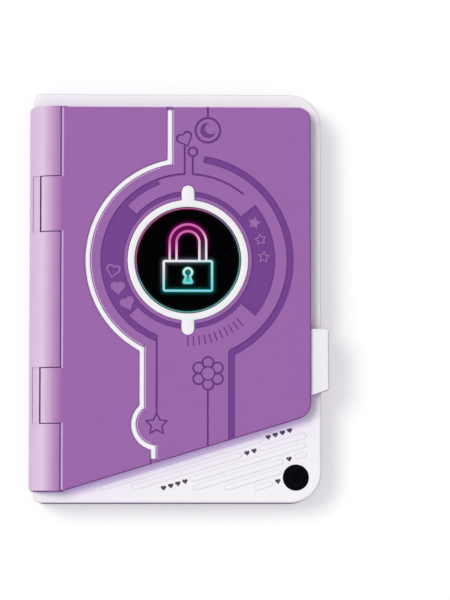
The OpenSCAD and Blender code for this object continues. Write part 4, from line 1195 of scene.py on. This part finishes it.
class DIARY_OT_screen(bpy.types.Operator):
    """Finish the screen's glass, panel and ribbon"""

    bl_idname = "diary.screen"
    bl_label = "Screen"

    def execute(self, context):
        glass = Finish("screen glass", roughness=0.08, Specular_IOR_Level=0.5)
        s, centre = sizes(), middle("screen_window")
        picture = glass.both(*(
            glass.below(glass.maths("ABSOLUTE", glass.away(name, place)), size / 2)
            for name, place, size in (("X", centre.x, s.sight_w), ("Y", centre.y, s.sight_h))
        ))
        tone = glass.mottle((0.03, 0.034, 0.045), 20, 0.1)
        glass.set(Base_Color=glass.mix(picture, (0.012, 0.011, 0.014), tone))
        dress(glass.material, "screen_window")
        dress(moulded("panel dark", tint(56, 58, 64), 0.4, 0.5), "lcd_panel")
        dress(moulded("ribbon amber", tint(196, 128, 52), 0.35, 0.5), "lcd_ribbon")
        return {"FINISHED"}


class DIARY_OT_keys(bpy.types.Operator):
    """Colour the keys and print their symbols"""

    bl_idname = "diary.keys"
    bl_label = "Keys"

    def execute(self, context):
        c = colours()
        key = moulded("key purple", c.cover, 0.28, 0.4, grain=0.3, depth=0.006, Specular_IOR_Level=0.4)
        dress(key, "back_key", "left_key", "ok_key", "right_key", "shutter_key", "power_button")
        ink = moulded("key ink", tint(244, 240, 248), 0.4, 0.5)
        arrow = [(-1.6, 0), (0.9, 1.8), (0.9, -1.8)]
        marks = {
            "left_key": [arrow],
            "right_key": [[(-x, y) for x, y in reversed(arrow)]],
            "ok_key": [[(-2.9, 0.1), (-2.1, 0.9), (-0.8, -0.4), (2.1, 2.4), (2.9, 1.6), (-0.8, -2.1)]],
            "back_key": [[(-1.8, -1.5), (-1.8, 0.3), (0, 1.9), (1.8, 0.3), (1.8, -1.5)]],
            "shutter_key": [arc(0, 0, 1.7, 0, 360, 24)[:-1]],
        }
        for node, outlines in marks.items():
            self.mark(node, outlines, ink)
        return {"FINISHED"}

    def mark(self, node, outlines, ink):
        """A thin printed symbol that lies in the key's shallow round dish."""
        lo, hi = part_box(node)
        centre = middle(node)
        radius = (hi[0] - lo[0]) / 2 - 1.2 * MM  # of the dish's rim
        dish = 3.05 * radius  # of the ball that hollows the dish, as in the part
        bm = bmesh.new()
        for outline in outlines:
            ring = [bm.verts.new((centre.x + x * MM, centre.y + y * MM, 0)) for x, y in outline]
            bm.faces.new(ring)
        bmesh.ops.triangulate(bm, faces=bm.faces)
        for _ in range(2):
            bmesh.ops.subdivide_edges(bm, edges=bm.edges, cuts=1, use_grid_fill=True)
        for v in bm.verts:
            off = math.hypot(v.co.x - centre.x, v.co.y - centre.y)
            v.co.z = hi[2] + 3 * radius - math.sqrt(max(dish * dish - off * off, 0)) + LIFT
        made = bmesh.ops.extrude_face_region(bm, geom=list(bm.faces))
        for v in [g for g in made["geom"] if isinstance(g, bmesh.types.BMVert)]:
            v.co.z += 0.05 * MM
        bmesh.ops.recalc_face_normals(bm, faces=bm.faces)
        name = node + "_symbol"
        piece(name, held(bm, name), node, ink, "case_white")


class DIARY_OT_inside(bpy.types.Operator):
    """Colour the boards, sockets, battery, speaker and lock parts"""

    bl_idname = "diary.inside"
    bl_label = "Inside"

    def execute(self, context):
        board = Finish("board resist")
        weave = board.noise(0.8, 2)
        board.set(Base_Color=board.mix(weave, tint(24, 84, 52), tint(34, 104, 66)))
        board.uneven_gloss(0.3, 0.45)
        board.grain(0.6, 0.02)
        dress(board.material, "main_board", "io_board")
        chip = moulded("chip black", tint(34, 34, 38), 0.45, 0.6)
        dress(chip, "main_chips", "power_switch", "memory_card")
        dress(
            steel(), "key_switches", "usb_socket", "card_socket", "microphone", "lock_solenoid", "lock_bolt",
            "lock_catch", "catch_screws", "spine_screws",
        )
        dress(moulded("cell wrap", tint(120, 128, 142), 0.35, 0.5, mottle=0.08), "battery_cell")
        cone = Finish("speaker cone", roughness=0.75)
        cone.set(Base_Color=cone.mix(cone.noise(0.5, 4), (0.02, 0.02, 0.022), (0.05, 0.05, 0.055)))
        cone.grain(0.4, 0.05)
        dress(cone.material, "speaker_unit")
        return {"FINISHED"}


# Screws


def screw_mesh(head, core, thick, reach, sides):
    """A pan head with a cross recess, its thread going up from the head's seat at height 0, in metres."""
    mesh = turned(
        [
            (0, -thick), (0.62 * head, -thick), (0.86 * head, -0.88 * thick), (head, -0.63 * thick),
            (head, 0), (core, 0), (core, reach - 0.6), (0.6 * core, reach), (0, reach),
        ],
        sides, "screw",
    )
    bm = bmesh.new()
    long, narrow, deep = 1.24 * head, 0.4 * head, 0.8 * thick
    for w, h in ((long, narrow), (narrow, long)):
        place = Matrix.Translation((0, 0, -thick)) @ Matrix.Diagonal((w, h, deep, 1))
        bmesh.ops.create_cube(bm, size=1, matrix=place)
    body, tool = placed("screw", mesh), placed("cross", held(bm, "cross"))
    cut = body.modifiers.new("cross", "BOOLEAN")
    cut.object = tool
    cut.solver = "EXACT"
    cut.use_self = True
    result = evaluated(body)
    bpy.data.objects.remove(tool)
    result.transform(Matrix.Scale(MM, 4))
    return result


def scatter_tree(material):
    """A tree that puts one copy of a screw on every point of a mesh, each turned by chance."""
    tree = bpy.data.node_groups.new("screws on points", "GeometryNodeTree")
    face = tree.interface
    face.new_socket("Points", in_out="INPUT", socket_type="NodeSocketGeometry")
    screw = face.new_socket("Screw", in_out="INPUT", socket_type="NodeSocketObject")
    face.new_socket("Screws", in_out="OUTPUT", socket_type="NodeSocketGeometry")
    add = tree.nodes.new
    given, result = add("NodeGroupInput"), add("NodeGroupOutput")
    info, scatter = add("GeometryNodeObjectInfo"), add("GeometryNodeInstanceOnPoints")
    real, paint = add("GeometryNodeRealizeInstances"), add("GeometryNodeSetMaterial")
    turn = add("FunctionNodeRandomValue")
    turn.data_type = "FLOAT"
    turn.inputs[3].default_value = math.pi / 2
    turn.inputs["Seed"].default_value = 7
    spin = add("ShaderNodeCombineXYZ")
    paint.inputs["Material"].default_value = material
    link = tree.links.new
    link(given.outputs["Points"], scatter.inputs["Points"])
    link(given.outputs["Screw"], info.inputs["Object"])
    link(info.outputs["Geometry"], scatter.inputs["Instance"])
    link(turn.outputs[1], spin.inputs["Z"])
    link(spin.outputs[0], scatter.inputs["Rotation"])
    link(scatter.outputs["Instances"], real.inputs["Geometry"])
    link(real.outputs["Geometry"], paint.inputs["Geometry"])
    link(paint.outputs["Geometry"], result.inputs["Screws"])
    return tree, screw.identifier


class DIARY_OT_screws(bpy.types.Operator):
    """Put a cross-headed screw in every screw hole that can be seen"""

    bl_idname = "diary.screws"
    bl_label = "Screws"

    def execute(self, context):
        s = sizes()
        tree, screw = scatter_tree(steel())
        for node, body, thick in (
            ("case_screws", "case", 1.5), ("board_screws", "case", 1.5), ("cover_screws", "cover", 0.8),
        ):
            solids = islands(node)
            low, high = solids[0]
            reach = (high.z - low.z) / MM - thick
            mesh = screw_mesh(s.screw_head / MM, s.screw_core / MM, thick, reach, s.screw_sides)
            smooth_by_angle(mesh)
            pattern = placed("screw pattern", mesh)
            points = bpy.data.meshes.new(node)
            points.from_pydata(
                [((a.x + b.x) / 2, (a.y + b.y) / 2, a.z + thick * MM) for a, b in solids], [], []
            )
            holder = placed(node, points)
            nodes = holder.modifiers.new("screws", "NODES")
            nodes.node_group = tree
            nodes[screw] = pattern
            made = evaluated(holder)
            piece(node.replace("_screws", "_screw_set"), made, body, steel(), "steel", node)
            bpy.data.objects.remove(pattern)
        return {"FINISHED"}


class DIARY_PT_panel(bpy.types.Panel):
    """Lists the diary's operators and settings"""

    bl_idname = "DIARY_PT_panel"
    bl_label = "Diary"
    bl_space_type = "VIEW_3D"
    bl_region_type = "UI"
    bl_category = "Diary"

    def draw(self, context):
        for operator in OPERATORS:
            self.layout.operator(operator.bl_idname)
        for group in (context.scene.diary_colours, context.scene.diary_sizes):
            for name in group.__annotations__:
                self.layout.prop(group, name)


OPERATORS = (
    DIARY_OT_camera, DIARY_OT_stage, DIARY_OT_cover, DIARY_OT_spine, DIARY_OT_case, DIARY_OT_badge,
    DIARY_OT_light_strip, DIARY_OT_tab, DIARY_OT_lens, DIARY_OT_screen, DIARY_OT_keys, DIARY_OT_inside,
    DIARY_OT_screws,
)
CLASSES = (DiaryColours, DiarySizes, *OPERATORS, DIARY_PT_panel)


def register():
    """Adds the diary's operators, panel and settings."""
    for cls in CLASSES:
        bpy.utils.register_class(cls)
    bpy.types.Scene.diary_colours = PointerProperty(type=DiaryColours)
    bpy.types.Scene.diary_sizes = PointerProperty(type=DiarySizes)


def unregister():
    """Takes them out again."""
    del bpy.types.Scene.diary_sizes
    del bpy.types.Scene.diary_colours
    for cls in reversed(CLASSES):
        bpy.utils.unregister_class(cls)


def main():
    """Dresses the diary stage by stage."""
    register()
    for operator in OPERATORS:
        group, name = operator.bl_idname.split(".")
        getattr(getattr(bpy.ops, group), name)()


if __name__ == "__main__":
    main()
